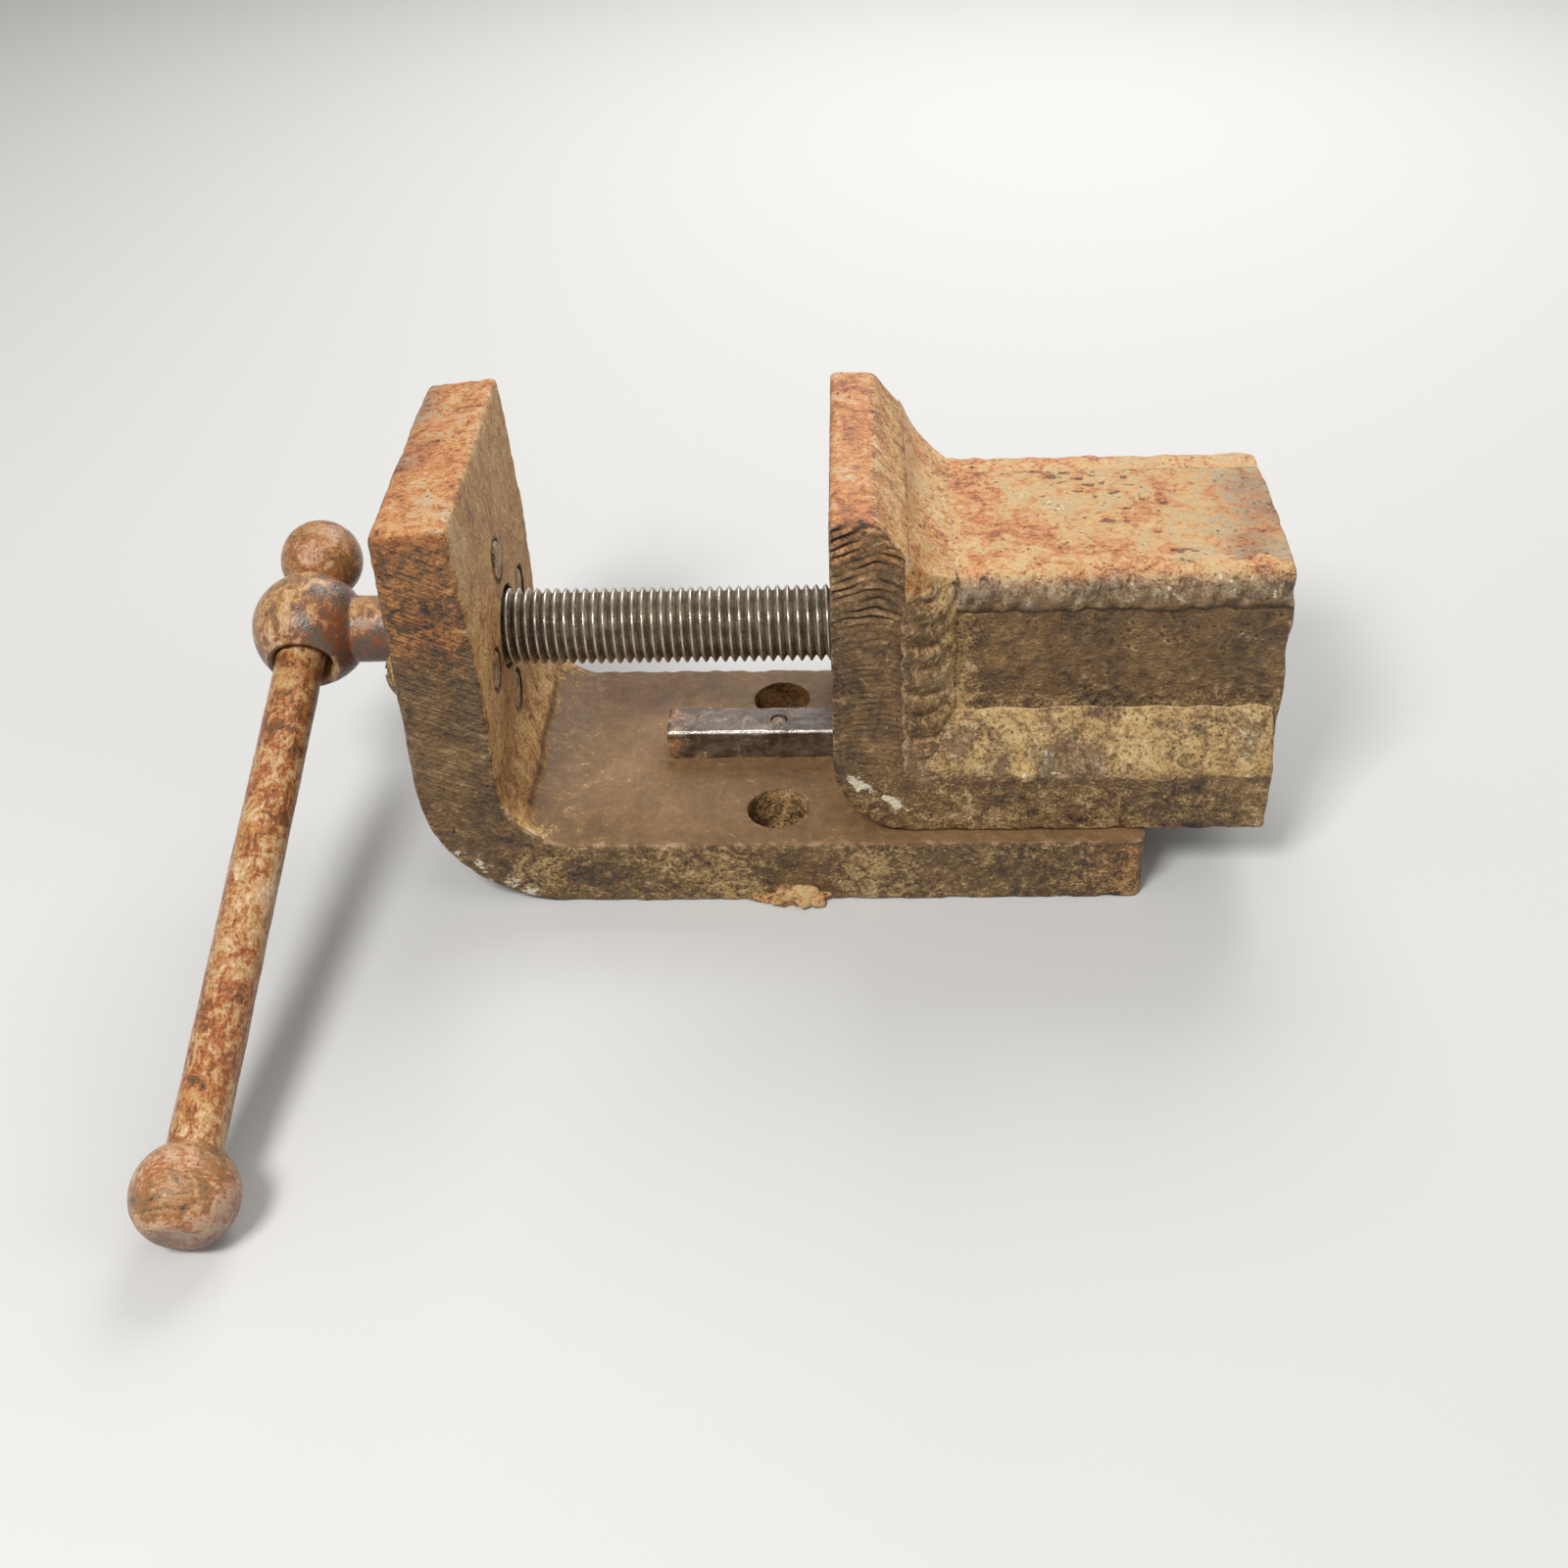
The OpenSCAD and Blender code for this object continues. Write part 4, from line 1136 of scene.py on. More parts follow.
def seam_welds():
    """The runs along both upper edges of the housing."""
    low, high = box_of("seam_weld_front")
    rear_y = box_of("seam_weld_rear")[0].y
    lap_down, overhang = 1.6 * MM, 0.5 * MM

    def torn(spot):
        """Ends the seams where the plates end."""
        spot.x -= ragged(spot, high.x)
        return spot

    def seam(node, inner_y, way, lap_in, proud, **swell):
        """One run along an upper edge, lapped into the corner and standing proud of the top plate."""
        root_y = inner_y - way * lap_in
        bead(node, Vector((low.x, root_y, low.z - lap_down)), Vector((high.x, root_y, low.z - lap_down)),
             BACKWARD * way * (PLATE_THICKNESS + lap_in + overhang),
             UPWARD * (PLATE_THICKNESS + lap_down + proud), seam_paint, pitch=7.5 * MM, trim=torn, **swell)

    seam("seam_weld_front", high.y, -1, 4.0 * MM, 0.1 * MM, bulge=4.8 * MM, ripple=2.0 * MM, lump=1.1 * MM,
         square=0.85, lean=0.8, sway=2.0 * MM, fade=0.4)
    seam("seam_weld_rear", rear_y, 1, 2.0 * MM, -0.5 * MM, bulge=7.6 * MM, ripple=2.2 * MM, lump=0.35 * MM,
         square=1.1, sway=1.6 * MM, fade=3.0)


def cove_weld():
    """The cove between the jaw's back and the top plate, as wide as the jaw at its upper edge."""
    low, high = box_of("jaw_top_weld")
    middle = (low.y + high.y) / 2
    flare = (JAW_HIGH.y - JAW_LOW.y) / (high.y - low.y) - 1
    lap, sunk, proud = 1.8 * MM, 1.5 * MM, 0.1 * MM
    size = sizes()
    slope = size.jaw_chamfer / (size.jaw_thickness - size.jaw_land)

    def flared(spot):
        """Widens the cove towards the jaw."""
        near_jaw = ramp(spot.x, high.x, low.x)
        spot.y = middle + (spot.y - middle) * (1 + flare * near_jaw)
        return spot

    root_x = low.x - lap
    root_z = low.z - sunk
    bead("jaw_top_weld", Vector((root_x, low.y, root_z)), Vector((root_x, high.y, root_z)),
         Vector((high.x + lap - root_x, 0, low.z + proud - root_z)),
         UPWARD * (high.z + lap * slope - root_z), top_weld_paint, bulge=-2.2 * MM, ripple=0.3 * MM,
         pitch=10 * MM, lump=0.6 * MM, cell=1.6 * MM, trim=flared)


def corner_welds():
    """The vertical runs between the jaw's back and the housing's sides, and the runs along the foot."""
    rise = 7 * MM
    corner_lap, corner_proud = 1.8 * MM, 1.2 * MM
    foot_lap, foot_proud = 2.0 * MM, 1.5 * MM
    for side, way in (("front", -1), ("rear", 1)):
        low, high = box_of(f"corner_weld_{side}")
        inner_y = high.y if way < 0 else low.y
        leg_y = BACKWARD * way * (high.y - low.y)
        bead(f"corner_weld_{side}", Vector((low.x, inner_y, high.z + rise)),
             Vector((low.x, inner_y, low.z)), leg_y * 1.05 - ALONG_SCREW * corner_lap,
             ALONG_SCREW * (high.x + corner_proud - low.x), corner_paint, bulge=2.2 * MM, ripple=2.8 * MM,
             pitch=8.5 * MM, lump=1.2 * MM, lean=0.85, sway=2.4 * MM, dome=9 * MM)
        low, high = box_of(f"foot_weld_{side}")
        bead(f"foot_weld_{side}", Vector((low.x, inner_y, low.z)), Vector((high.x, inner_y, low.z)),
             leg_y * 0.99 - UPWARD * foot_lap, UPWARD * (high.z + foot_proud - low.z), foot_paint,
             bulge=2.4 * MM, ripple=0.8 * MM, pitch=13 * MM, lump=1.8 * MM, cell=1.4 * MM, lean=0.5,
             wander=1.2 * MM, sway=2.4 * MM)


# Base fittings

def guide_key():
    """The key that the moving jaw slides along, with its rivet holes."""
    bm = block(KEY_HIGH - KEY_LOW, (2.4 * MM, 1.8 * MM, 1.8 * MM), 0.8 * MM)
    piece = refined(placed("worn_guide_key", shaped(bm, lambda co: KEY_LOW + co)))
    weathered(piece, dent=0.12 * MM, dent_size=14 * MM, grain=0.06 * MM, bite=0.4 * MM)
    hole, hole_depth = sizes().rivet_radius + 0.3 * MM, 5 * MM
    carved(piece, *[drill(Vector((x, y, KEY_HIGH.z)), -UPWARD, hole, hole_depth, 0.3 * MM, back_mouth=False)
                    for x, y in rivet_spots()])
    ring = 2.7

    def key_paint(at, normal):
        """Dark steel with a bright front edge, rubbed on top and dirty round its rivets."""
        front_edge = ramp(math.hypot(at.y - KEY_LOW.y / MM, at.z - KEY_HIGH.z / MM), 1.5, 0.5)
        top_face = ramp(normal.z, 0.7, 0.95)
        rubbed = top_face * (0.3 + 0.25 * rough(at, 12)) * ramp(at.y, 5, -2)
        rusty_end = ramp(at.x, -16, -36)
        off = min(abs(math.hypot(at.x - x / MM, at.y - y / MM) - ring) for x, y in rivet_spots())
        return {"tan": 0.02, "red": 0.1 + 0.3 * rusty_end, "grey": 0.34 * top_face,
                "dust": 0.04 + 0.1 * rusty_end, "bare": front_edge * 0.72 + rubbed * 0.4,
                "soot": top_face * ramp(off, 0.9, 0.3)}

    dressed(piece, "guide_key", key_finish, key_paint)


def rivet_spots():
    """Where the rivets stand along the key."""
    low, high = box_of("key_rivets")
    y = (low.y + high.y) / 2
    radius = sizes().rivet_radius
    return [(low.x + radius, y), (high.x - radius, y)]


def key_rivets():
    """Flush rivets, slightly sunk and rounded over."""
    size = sizes()
    low, high = box_of("key_rivets")
    rivets = []
    for x, y in rivet_spots():
        profile = [(0, low.z), (size.rivet_radius, low.z), (size.rivet_radius, high.z - 0.6 * MM),
                   (0, high.z - 0.15 * MM)]
        rivets.append(moved(softened(turned(profile, 32), 0.3 * MM), Matrix.Translation((x, y, 0))))
    dressed(placed("worn_key_rivets", merged(*rivets)), "key_rivets", key_finish, evenly())


def tack_weld():
    """A ragged puddle of weld on the base's lower front edge, with a thin run beside it."""
    low, high = box_of("tack_weld")
    middle = Vector(((low.x + high.x) / 2, high.y, 1.2 * MM))
    underside = 0.15 * MM

    def puddle(offset, half):
        """One uneven lump, from its place along the edge and its half sizes, in millimetres."""

        def place(co):
            swell = 1 + 0.45 * noise.noise(co * 1.5 + Vector((offset, 2, 0))) + 0.12 * noise.noise(co * 3.6)
            spot = Vector(co[i] * half[i] * MM for i in range(3)) * swell + middle
            spot.x += offset * MM
            spot.z = max(underside, spot.z)
            return spot

        lump = bmesh.new()
        bmesh.ops.create_icosphere(lump, subdivisions=5, radius=1.0)
        return shaped(lump, place)

    def tack_paint(at, normal):
        """Ruddy weld, with painted shade underneath."""
        # Faces turned down take painted shade in the soot layer.
        return {"tan": 0.6, "red": 0.5, "dust": 0.12, "soot": 0.3 * ramp(normal.z, 0.2, -0.5)}

    lumps = merged(puddle(0.0, (7.6, 3.6, 5.6)), puddle(-11.5, (5.0, 1.6, 1.8)), puddle(5.8, (4.2, 4.0, 3.2)),
                   puddle(-5.4, (4.6, 3.6, 3.0)), puddle(2.4, (4.4, 5.2, 2.2)))
    piece = placed("worn_tack_weld", lumps)
    weathered(piece, dent=0.3 * MM, dent_size=3.4 * MM, grain=0.07 * MM, grain_size=1.3 * MM)
    dressed(piece, "tack_weld", weld_finish, tack_paint)


def keeper_plate():
    """The round plate that holds the screw's collar in the fixed jaw."""
    size = sizes()
    radius = (KEEPER_HIGH.z - KEEPER_LOW.z) / 2
    thick = KEEPER_HIGH.x - KEEPER_LOW.x
    rings = 14
    face = [(radius * i / rings, 0) for i in range(rings + 1)]
    profile = face + [(reach, thick) for reach, _ in reversed(face)]
    bm = softened(turned(profile, 120), 0.7 * MM)
    moved(bm, aim(on_screw(KEEPER_LOW.x), ALONG_SCREW))
    piece = placed("worn_keeper_plate", bm)
    weathered(piece, dent=0.15 * MM, dent_size=12 * MM, grain=0.06 * MM, bite=0.3 * MM)
    carved(piece, *screw_bores(KEEPER_LOW.x, thick, bore=size.neck_radius + 0.3 * MM, mouth=0.4 * MM,
                               shank=size.keeper_shank + 0.1 * MM, shank_mouth=0.1 * MM))
    dressed(piece, "keeper_plate", plate_finish, evenly(tan=0.3, red=0.2, dust=0.15))


def keeper_screws():
    """Four screws with domed slotted heads, their ends flush in the jaw's inner face."""
    size = sizes()
    head = KEEPER_LOW.x - KEEPER_SCREW_LOW.x
    reach = KEEPER_SCREW_HIGH.x - KEEPER_LOW.x
    dome = (size.keeper_head ** 2 + head ** 2) / (2 * head)
    spread = math.asin(size.keeper_head / dome)
    dome_steps = 12
    turns = [spread * i / dome_steps for i in range(dome_steps + 1)]
    profile = [(dome * math.sin(turn), dome * (1 - math.cos(turn)) - head) for turn in turns]
    profile += [(size.keeper_shank, 0), (size.keeper_shank, reach - 1.0 * MM),
                (size.keeper_shank - 0.5 * MM, reach - 0.35 * MM),
                (size.keeper_shank * 0.5, reach - 0.1 * MM), (0, reach - 0.1 * MM)]
    slot_long, slot_wide, slot_deep = 24 * MM, 2.2 * MM, 4 * MM
    screws = []
    slots = []
    for number, spot in enumerate(keeper_spots()):
        at = aim(on_screw(KEEPER_LOW.x) + spot, ALONG_SCREW)
        screws.append(moved(turned(profile, 48), at))
        slot = block((slot_long, slot_wide, slot_deep), (6 * MM,) * 3, 0.5 * MM)
        moved(slot, Matrix.Translation((-slot_long / 2, -slot_wide / 2, -head - 2.2 * MM)))
        slot_turn = 0.4 + 1.1 * number
        slots.append(moved(slot, at @ Matrix.Rotation(slot_turn, 4, "Z")))
    piece = placed("worn_keeper_screws", merged(*screws))
    carved(piece, merged(*slots))
    dressed(piece, "keeper_screws", fastener_finish, evenly(tan=0.45, red=0.25, dust=0.2), CRISP)


# Screw and head

def thread_helix(start_x, end_x):
    """One right-handed thread round the X axis, cut square at its start and chamfered at its end."""
    size = sizes()
    root = size.screw_radius - size.thread_depth
    turn_steps = 48
    turns = math.ceil((end_x - start_x) / size.pitch) + 2
    rise = ((0.0, 0.0), (0.07, 0.03), (0.22, 0.36), (0.36, 0.76), (0.43, 0.95), (0.5, 1.0))
    flank = rise + tuple((1 - x, depth) for x, depth in reversed(rise[:-1]))
    turn = bmesh.new()
    verts = [turn.verts.new((start_x + size.pitch * (x - 1), 0, root + size.thread_depth * depth))
             for x, depth in flank]
    edges = [turn.edges.new(pair) for pair in zip(verts, verts[1:])]
    bmesh.ops.spin(turn, geom=verts + edges, cent=(0, 0, 0), axis=ALONG_SCREW, angle=2 * math.pi,
                   steps=turn_steps, dvec=(size.pitch / turn_steps, 0, 0), use_merge=False)
    bm = merged(*[moved(turn.copy(), Matrix.Translation((size.pitch * number, 0, 0)))
                  for number in range(turns)])
    turn.free()
    bmesh.ops.remove_doubles(bm, verts=bm.verts, dist=0.002 * MM)
    for plane, side in ((start_x, -1), (end_x, 1)):
        bmesh.ops.bisect_plane(bm, geom=bm.verts[:] + bm.edges[:] + bm.faces[:], dist=0.001 * MM,
                               plane_co=(plane, 0, 0), plane_no=(side, 0, 0), clear_outer=True)
    bmesh.ops.holes_fill(bm, edges=bm.edges, sides=0)
    chamfer = 2.2 * MM
    for vert in bm.verts:
        reach = math.hypot(vert.co.y, vert.co.z)
        most = size.screw_radius - chamfer * ramp(vert.co.x, end_x - chamfer, end_x)
        if reach > most:
            vert.co.yz = vert.co.yz * (most / reach)
    bmesh.ops.recalc_face_normals(bm, faces=bm.faces)
    return bm


def lead_screw():
    """The lead screw: its thread, a journal, a thrust collar and the spigot in the head."""
    size = sizes()
    journal_end = BASE_LOW.x + size.fixed_foot - size.journal_inset
    collar = (SCREW_HIGH.z - SCREW_LOW.z) / 2
    collar_x = HEAD_HIGH.x
    collar_end = collar_x + size.collar_width
    profile = [(0, SCREW_LOW.x), (size.spigot_radius, SCREW_LOW.x), (size.spigot_radius, collar_x),
               (collar, collar_x), (collar, collar_end), (size.journal_radius, collar_end),
               (size.journal_radius, journal_end), (0, journal_end)]
    shank = moved(softened(turned(profile, 64), 0.4 * MM), aim(Vector((0, 0, 0)), ALONG_SCREW))
    thread = thread_helix(journal_end - 1 * MM, SCREW_HIGH.x)
    piece = placed("worn_lead_screw", moved(merged(thread, shank), Matrix.Translation(on_screw(0))))

    def screw_paint(at, normal):
        """Bright on the crests, dark in the roots, rusty near the fixed jaw."""
        depth = (size.screw_radius / MM - math.hypot(at.y, at.z - SCREW_Z / MM)) / (size.thread_depth / MM)
        near_jaw = ramp(at.x, -70, -88)
        return {"bare": ramp(depth, 0.55, 0.05), "mark": ramp(depth, 0.5, 1.0), "red": 0.1 + 0.35 * near_jaw}

    dressed(piece, "lead_screw", thread_finish, screw_paint, angle=math.radians(60))


def screw_head():
    """The ball head: a ball with a filleted neck and a worn cross hole for the handle."""
    size = sizes()
    radius = (HEAD_HIGH.z - HEAD_LOW.z) / 2
    centre = on_screw(HEAD_LOW.x + radius)
    neck_end = HEAD_HIGH.x - centre.x
    fillet = 1.8 * MM
    meet = math.asin((size.neck_radius + fillet) / (radius + fillet))
    ball_steps = 40
    turns = [(math.pi - meet) * i / ball_steps for i in range(ball_steps + 1)]
    profile = [(radius * math.sin(turn), -radius * math.cos(turn)) for turn in turns]
    hub = Vector((size.neck_radius + fillet, (radius + fillet) * math.cos(meet)))
    fillet_steps = 6
    first = math.pi + (math.pi / 2 - meet)
    for i in range(1, fillet_steps + 1):
        turn = first + (math.pi - first) * i / fillet_steps
        profile.append((hub.x + fillet * math.cos(turn), hub.y + fillet * math.sin(turn)))
    neck_rings = 8
    profile += [(size.neck_radius, hub.y + (neck_end - hub.y) * i / neck_rings)
                for i in range(1, neck_rings + 1)]
    profile.append((0, neck_end))
    piece = placed("worn_screw_head", moved(turned(profile, 96), aim(centre, ALONG_SCREW)))
    weathered(piece, dent=0.3 * MM, dent_size=13 * MM, grain=0.06 * MM, grain_size=3 * MM)
    keep_in(piece, HEAD_LOW, HEAD_HIGH)
    hole = size.bar_radius + size.bar_room
    mouth = 2.2 * MM
    half = math.sqrt(radius ** 2 - (hole + mouth) ** 2)
    carved(piece, drill(centre - HANDLE_AXIS * half, HANDLE_AXIS, hole, 2 * half, mouth))

    def head_paint(at, normal):
        """Dark steel, tan round the hole, dusty where ball and neck meet; painted light makes it tanner and
        redder on its upper left.
        """
        along = (at * MM - centre).dot(HANDLE_AXIS)
        off = (at * MM - centre - HANDLE_AXIS * along).length / MM
        rim = ramp(off, 13.5, 11) * ramp(abs(along) / MM, 8, 12)
        ring = ramp(abs(at.x - (centre.x + hub.y) / MM), 2.6, 0.6)
        # Painted light: the lit upper-left side takes more tan and red rust.
        lit = ramp(normal.z - 0.7 * normal.x, -0.2, 1.0)
        return {"tan": 0.14 + 0.42 * lit + 0.3 * rim, "red": 0.2 + 0.2 * lit,
                "dust": 0.02 + 0.2 * ring, "bare": 0.14}

    dressed(piece, "screw_head", head_finish, head_paint)


def head_pin():
    """The pin through the neck, filed flush at both ends."""
    radius = (PIN_HIGH.x - PIN_LOW.x) / 2
    centre = (PIN_LOW + PIN_HIGH) / 2
    half = (PIN_HIGH.z - PIN_LOW.z) / 2
    profile = [(0, -half - 0.15 * MM), (radius, -half + 0.2 * MM), (radius, half - 0.2 * MM),
               (0, half + 0.15 * MM)]
    pin = moved(softened(turned(profile, 28), 0.25 * MM), Matrix.Translation(centre))
    piece = placed("worn_head_pin", pin)
    dressed(piece, "head_pin", fastener_finish, evenly(tan=0.2, red=0.2))


# Handle

def handle_bar():
    """The sliding bar, shallowly dented and grained along its length."""
    size = sizes()
    low, high = box_of("handle_bar")
    centre = (low + high) / 2
    lean = math.sqrt(1 - HANDLE_AXIS.y ** 2)
    half = ((high.y - low.y) - 2 * size.bar_radius * lean) / HANDLE_AXIS.y / 2
    at = aim(centre, HANDLE_AXIS)
    rings = 150
    side = [(size.bar_radius, -half + 2 * half * i / rings) for i in range(rings + 1)]
    profile = [(0, -half), *side, (0, half)]
    piece = placed("worn_handle_bar", moved(turned(profile, 56), at))
    weathered(piece, dent=0.22 * MM, dent_size=15 * MM, grain=0.07 * MM, grain_size=3 * MM)
    grained(piece, at)
    dressed(piece, "handle_bar", handle_finish, handle_paint)


def handle_paint(at, normal):
    """Orange, brown and tan along the handle."""
    return {"tan": 0.46 + 0.3 * rough(at, 18), "red": 0.24, "grey": 0.2, "dust": 0.14 + 0.2 * rough(at, 13),
            "bare": 0.16}


def knob(node, long, way, lip=0.0):
    """A forged ball knob: flat where the bar enters, there with a lip or none, and a faint ring."""
    size = sizes()
    low, high = box_of(node)
    centre = (low + high) / 2
    radius = (high.x - low.x) / 2
    at = aim(centre, HANDLE_AXIS * way)
    end = math.acos(long / 2 / radius)
    steps = 44
    crease_deep, crease_at, crease_half = 0.28 * MM, -0.62, 0.035
    profile = [(0, -long / 2)]
    for i in range(steps + 1):
        turn = -math.pi / 2 + end + (math.pi - 2 * end) * i / steps
        reach = radius - crease_deep * math.exp(-((turn - crease_at) / crease_half) ** 2)
        profile.append((reach * math.cos(turn), reach * math.sin(turn)))
    profile[1:1] = [(profile[1][0] * share, -long / 2) for share in (0.35, 0.7)]
    if lip:
        profile += [(size.bar_radius + lip, long / 2 + lip), (size.bar_radius - lip, long / 2 + 1.2 * lip)]
    profile.append((0, profile[-1][1]))
    piece = placed(f"worn_{node}", moved(softened(turned(profile, 72), 0.5 * MM, segments=2), at))
    weathered(piece, dent=0.3 * MM, dent_size=10 * MM, grain=0.06 * MM, grain_size=3 * MM)
    keep_in(piece, low, high)

    def knob_paint(at, normal):
        """Brown, with a painted highlight on top: more tan, grey and bare steel there."""
        # Painted highlight: tan, grey and bare steel grow towards the top.
        upper = ramp(normal.z, -0.2, 0.9)
        return {"tan": 0.34 + 0.2 * rough(at, 12) + 0.12 * upper, "red": 0.16, "grey": 0.12 + 0.26 * upper,
                "dust": 0.04, "bare": 0.14 + 0.12 * upper}

    grained(piece, at)
    dressed(piece, node, knob_finish, knob_paint)


# Nut

def jaw_nut():
    """The hexagon nut on the jaw's back, chamfered at its open end and bored for the screw."""
    size = sizes()
    flats = (NUT_HIGH.z - NUT_LOW.z) / 2
    corners = flats / math.cos(math.radians(30))
    depth = NUT_HIGH.x - NUT_LOW.x
    bm = bmesh.new()
    upright = Matrix.Translation((0, 0, depth / 2)) @ Matrix.Rotation(math.radians(30), 4, "Z")
    bmesh.ops.create_cone(bm, cap_ends=True, segments=6, radius1=corners, radius2=corners, depth=depth,
                          matrix=upright)
    softened(bm, 0.8 * MM)
    bmesh.ops.subdivide_edges(bm, edges=bm.edges, cuts=5, use_grid_fill=True)
    turn = 0 if NUT_HIGH.y - NUT_LOW.y > 2 * flats else math.radians(30)
    moved(bm, aim(on_screw(NUT_LOW.x), ALONG_SCREW) @ Matrix.Rotation(turn, 4, "Z"))
    piece = placed("worn_jaw_nut", bm)
    hole = size.screw_radius + 0.1 * MM
    carved(piece, drill(on_screw(NUT_LOW.x), ALONG_SCREW, hole, depth, mouth=0.8 * MM))
    dressed(piece, "jaw_nut", fastener_finish, evenly(tan=0.2, red=0.25, dust=0.1), CRISP)


def nut_welds():
    """Short fillets above and below the nut, joined in one piece."""
    low, high = box_of("nut_welds")
    leg = high.x - low.x
    width = leg * 1.4
    root, sunk, pitch = 2 * MM, 0.3 * MM, 3.5 * MM

    def fillet(height, way):
        """One fillet against the nut's upper or lower flat, rippled along its run."""
        outward = (ALONG_SCREW + UPWARD * way).normalized()

        def place(co):
            across = co.y / width
            arc = max(0.0, math.sin(math.pi * across))
            wave = abs(math.sin(math.pi * (co.x + 1.5 * MM * arc) / pitch))
            crown = (ALONG_SCREW * leg).lerp(UPWARD * way * leg, across)
            swell = arc * (0.5 * MM + 0.5 * MM * wave)
            spot = (crown + outward * swell) * (co.z / root) - outward * sunk
            return spot + Vector((low.x, low.y + co.x, height))

        return shaped(block((high.y - low.y, width, root), (1.0 * MM, 0.8 * MM, root), 0.6 * MM), place)

    piece = refined(placed("worn_nut_welds", merged(fillet(NUT_HIGH.z, 1), fillet(NUT_LOW.z, -1))))
    dressed(piece, "nut_welds", weld_finish, corner_paint)


# Stage

def floor_finish(colour, bounce):
    """A plain pale floor that sends less light back up than it shows."""
    finish = Finish("pale_floor")
    seen = [finish.node("ShaderNodeLightPath", output=f"Is {kind} Ray")
            for kind in ("Camera", "Glossy", "Transmission")]
    share = seen[0].maths("MINIMUM", seen[0] + seen[1] + seen[2], 1.0)
    shown = finish.mix(share, (*bounce, 1.0), (*colour, 1.0))
    shader = finish.node("ShaderNodeBsdfDiffuse", {}, {"Color": shown})
    finish.node("ShaderNodeOutputMaterial", {}, {"Surface": shader})
    return finish.material


def lamp(name, place, target, size, watts):
    """A square lamp that faces a point."""
    light = bpy.data.lights.new(name, "AREA")
    light.shape = "SQUARE"
    light.size = size
    light.energy = watts
    rig = bpy.data.objects.new(name, light)
    bpy.context.collection.objects.link(rig)
    rig.location = place
    rig.rotation_euler = (Vector(target) - Vector(place)).to_track_quat("-Z", "Y").to_euler()


def set_stage():
    """Floor, sky, lamps, camera and plain view settings."""
    scene = bpy.context.scene
    stage = scene.vise_stage
    bm = bmesh.new()
    floor_half = 6.0
    bmesh.ops.create_grid(bm, x_segments=8, y_segments=8, size=floor_half)
    floor = placed("floor", bm)
    floor.data.materials.append(floor_finish(stage.floor, stage.bounce))

    world = bpy.data.worlds.new("even_sky")
    world.use_nodes = True
    sky = world.node_tree.nodes["Background"]
    sky.inputs["Color"].default_value = (1, 1, 1, 1)
    sky.inputs["Strength"].default_value = stage.sky
    scene.world = world
    middle = (0, 0, 60 * MM)
    lamp("key_lamp", (0.2, 0.88, 0.86), middle, size=0.8, watts=stage.key)
    lamp("small_lamp", (-0.4, -0.75, 1.05), middle, size=0.35, watts=stage.spark)
    lamp("fill_lamp", (1.1, -0.45, 0.75), middle, size=0.7, watts=stage.fill)

    lens = bpy.data.cameras.new("photo_camera")
    lens.lens = stage.lens
    lens.sensor_width = SENSOR_WIDTH
    camera = bpy.data.objects.new("photo_camera", lens)
    bpy.context.collection.objects.link(camera)
    camera.location = stage.camera_place
    camera.rotation_euler = Euler(stage.camera_turn)
    scene.camera = camera
    scene.view_settings.view_transform = "Standard"


# Operators, panel and registration

class VISE_OT_stage(Operator):
    """Set up the floor, the lights and the camera"""

    bl_idname = "vise.stage"
    bl_label = "Stage"

    def execute(self, context):
        set_stage()
        return {"FINISHED"}


class VISE_OT_base_frame(Operator):
    """Bend the base bar with its fixed jaw"""

    bl_idname = "vise.base_frame"
    bl_label = "Base Frame"

    def execute(self, context):
        base_frame()
        return {"FINISHED"}


class VISE_OT_base_fittings(Operator):
    """Lay the guide key with its rivets and the tack of weld on the base"""

    bl_idname = "vise.base_fittings"
    bl_label = "Key, Rivets and Tack"

    def execute(self, context):
        guide_key()
        key_rivets()
        tack_weld()
        return {"FINISHED"}


class VISE_OT_keeper(Operator):
    """Screw the keeper plate onto the fixed jaw"""

    bl_idname = "vise.keeper"
    bl_label = "Keeper and Screws"

    def execute(self, context):
        keeper_plate()
        keeper_screws()
        return {"FINISHED"}


class VISE_OT_screw(Operator):
    """Cut the lead screw and fit its ball head and pin"""

    bl_idname = "vise.screw"
    bl_label = "Lead Screw and Head"

    def execute(self, context):
        lead_screw()
        screw_head()
        head_pin()
        return {"FINISHED"}


class VISE_OT_handle(Operator):
    """Slide the handle and its two knobs into the head"""

    bl_idname = "vise.handle"
    bl_label = "Handle and Knobs"

    def execute(self, context):
        handle_bar()
        knob("knob_long_end", sizes().long_knob, way=1, lip=0.5 * MM)
        knob("knob_short_end", sizes().short_knob, way=-1)
        return {"FINISHED"}


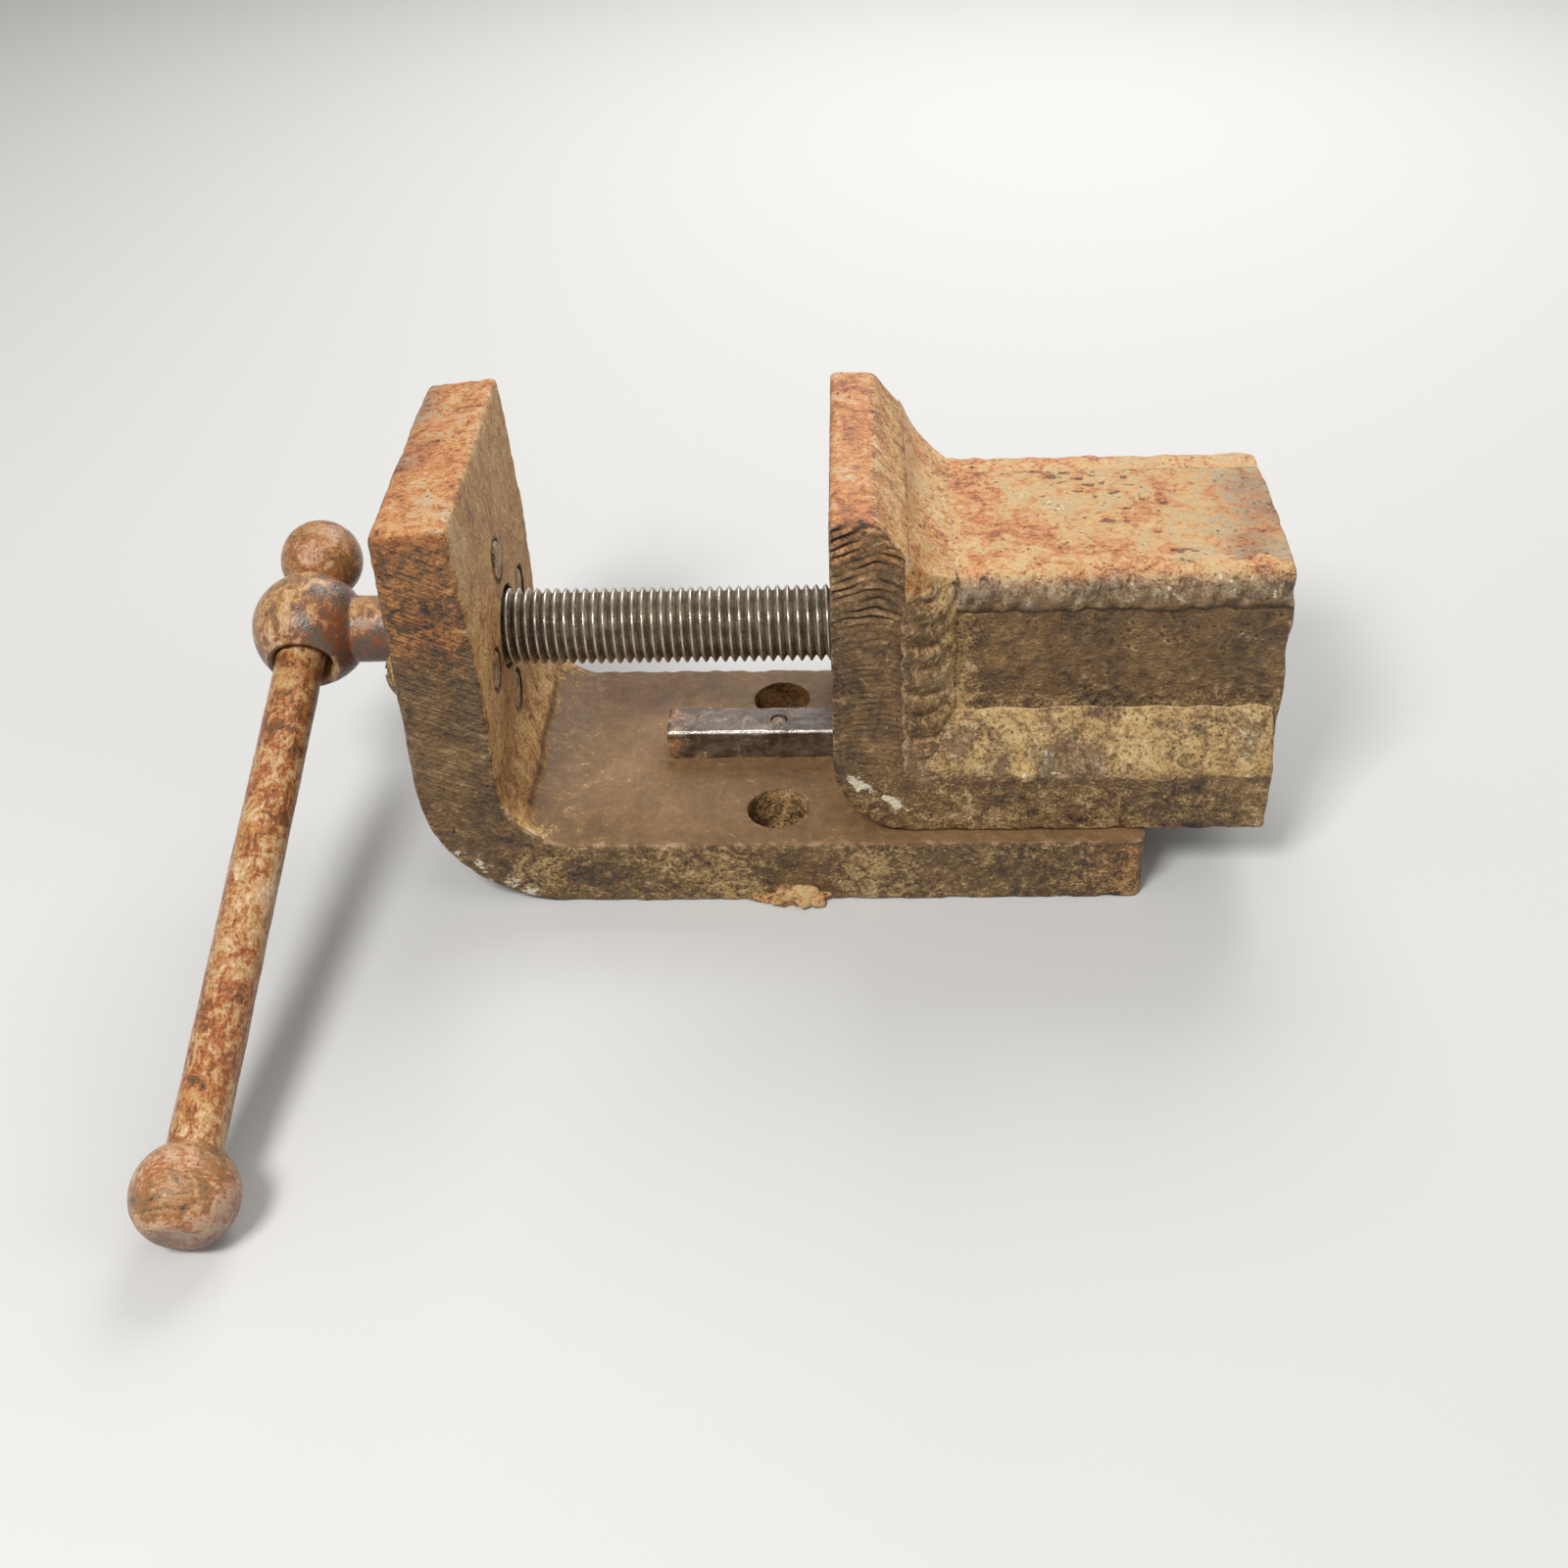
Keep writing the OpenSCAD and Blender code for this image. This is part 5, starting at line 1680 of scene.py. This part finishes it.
class VISE_OT_moving_jaw(Operator):
    """Bend the moving jaw's bar and fit its nut"""

    bl_idname = "vise.moving_jaw"
    bl_label = "Moving Jaw and Nut"

    def execute(self, context):
        jaw_plate()
        jaw_nut()
        nut_welds()
        return {"FINISHED"}


class VISE_OT_housing(Operator):
    """Cut the three plates of the housing"""

    bl_idname = "vise.housing"
    bl_label = "Housing Plates"

    def execute(self, context):
        for node in ("side_plate_front", "side_plate_rear", "top_plate"):
            housing_plate(node)
        return {"FINISHED"}


class VISE_OT_welds(Operator):
    """Run the welds of the housing"""

    bl_idname = "vise.welds"
    bl_label = "Housing Welds"

    def execute(self, context):
        seam_welds()
        cove_weld()
        corner_welds()
        return {"FINISHED"}


STEPS = (VISE_OT_stage, VISE_OT_base_frame, VISE_OT_base_fittings, VISE_OT_keeper, VISE_OT_screw,
         VISE_OT_handle, VISE_OT_moving_jaw, VISE_OT_housing, VISE_OT_welds)


class VISE_PT_sidebar(Panel):
    """Lists the steps that build the vise"""

    bl_idname = "VISE_PT_sidebar"
    bl_label = "Vise"
    bl_space_type = "VIEW_3D"
    bl_region_type = "UI"
    bl_category = "Vise"

    def draw(self, context):
        for step in STEPS:
            self.layout.operator(step.bl_idname)


CLASSES = (ViseSizes, ViseColours, ViseStage, *STEPS, VISE_PT_sidebar)


def register():
    """Makes the classes and the scene's settings known to Blender."""
    for cls in CLASSES:
        bpy.utils.register_class(cls)
    bpy.types.Scene.vise_sizes = PointerProperty(type=ViseSizes)
    bpy.types.Scene.vise_colours = PointerProperty(type=ViseColours)
    bpy.types.Scene.vise_stage = PointerProperty(type=ViseStage)


def unregister():
    """Takes the settings and the classes out again."""
    del bpy.types.Scene.vise_stage
    del bpy.types.Scene.vise_colours
    del bpy.types.Scene.vise_sizes
    for cls in reversed(CLASSES):
        bpy.utils.unregister_class(cls)


def main():
    """Builds the whole vise."""
    register()
    for step in STEPS:
        group, name = step.bl_idname.split(".")
        getattr(getattr(bpy.ops, group), name)()


if __name__ == "__main__":
    main()
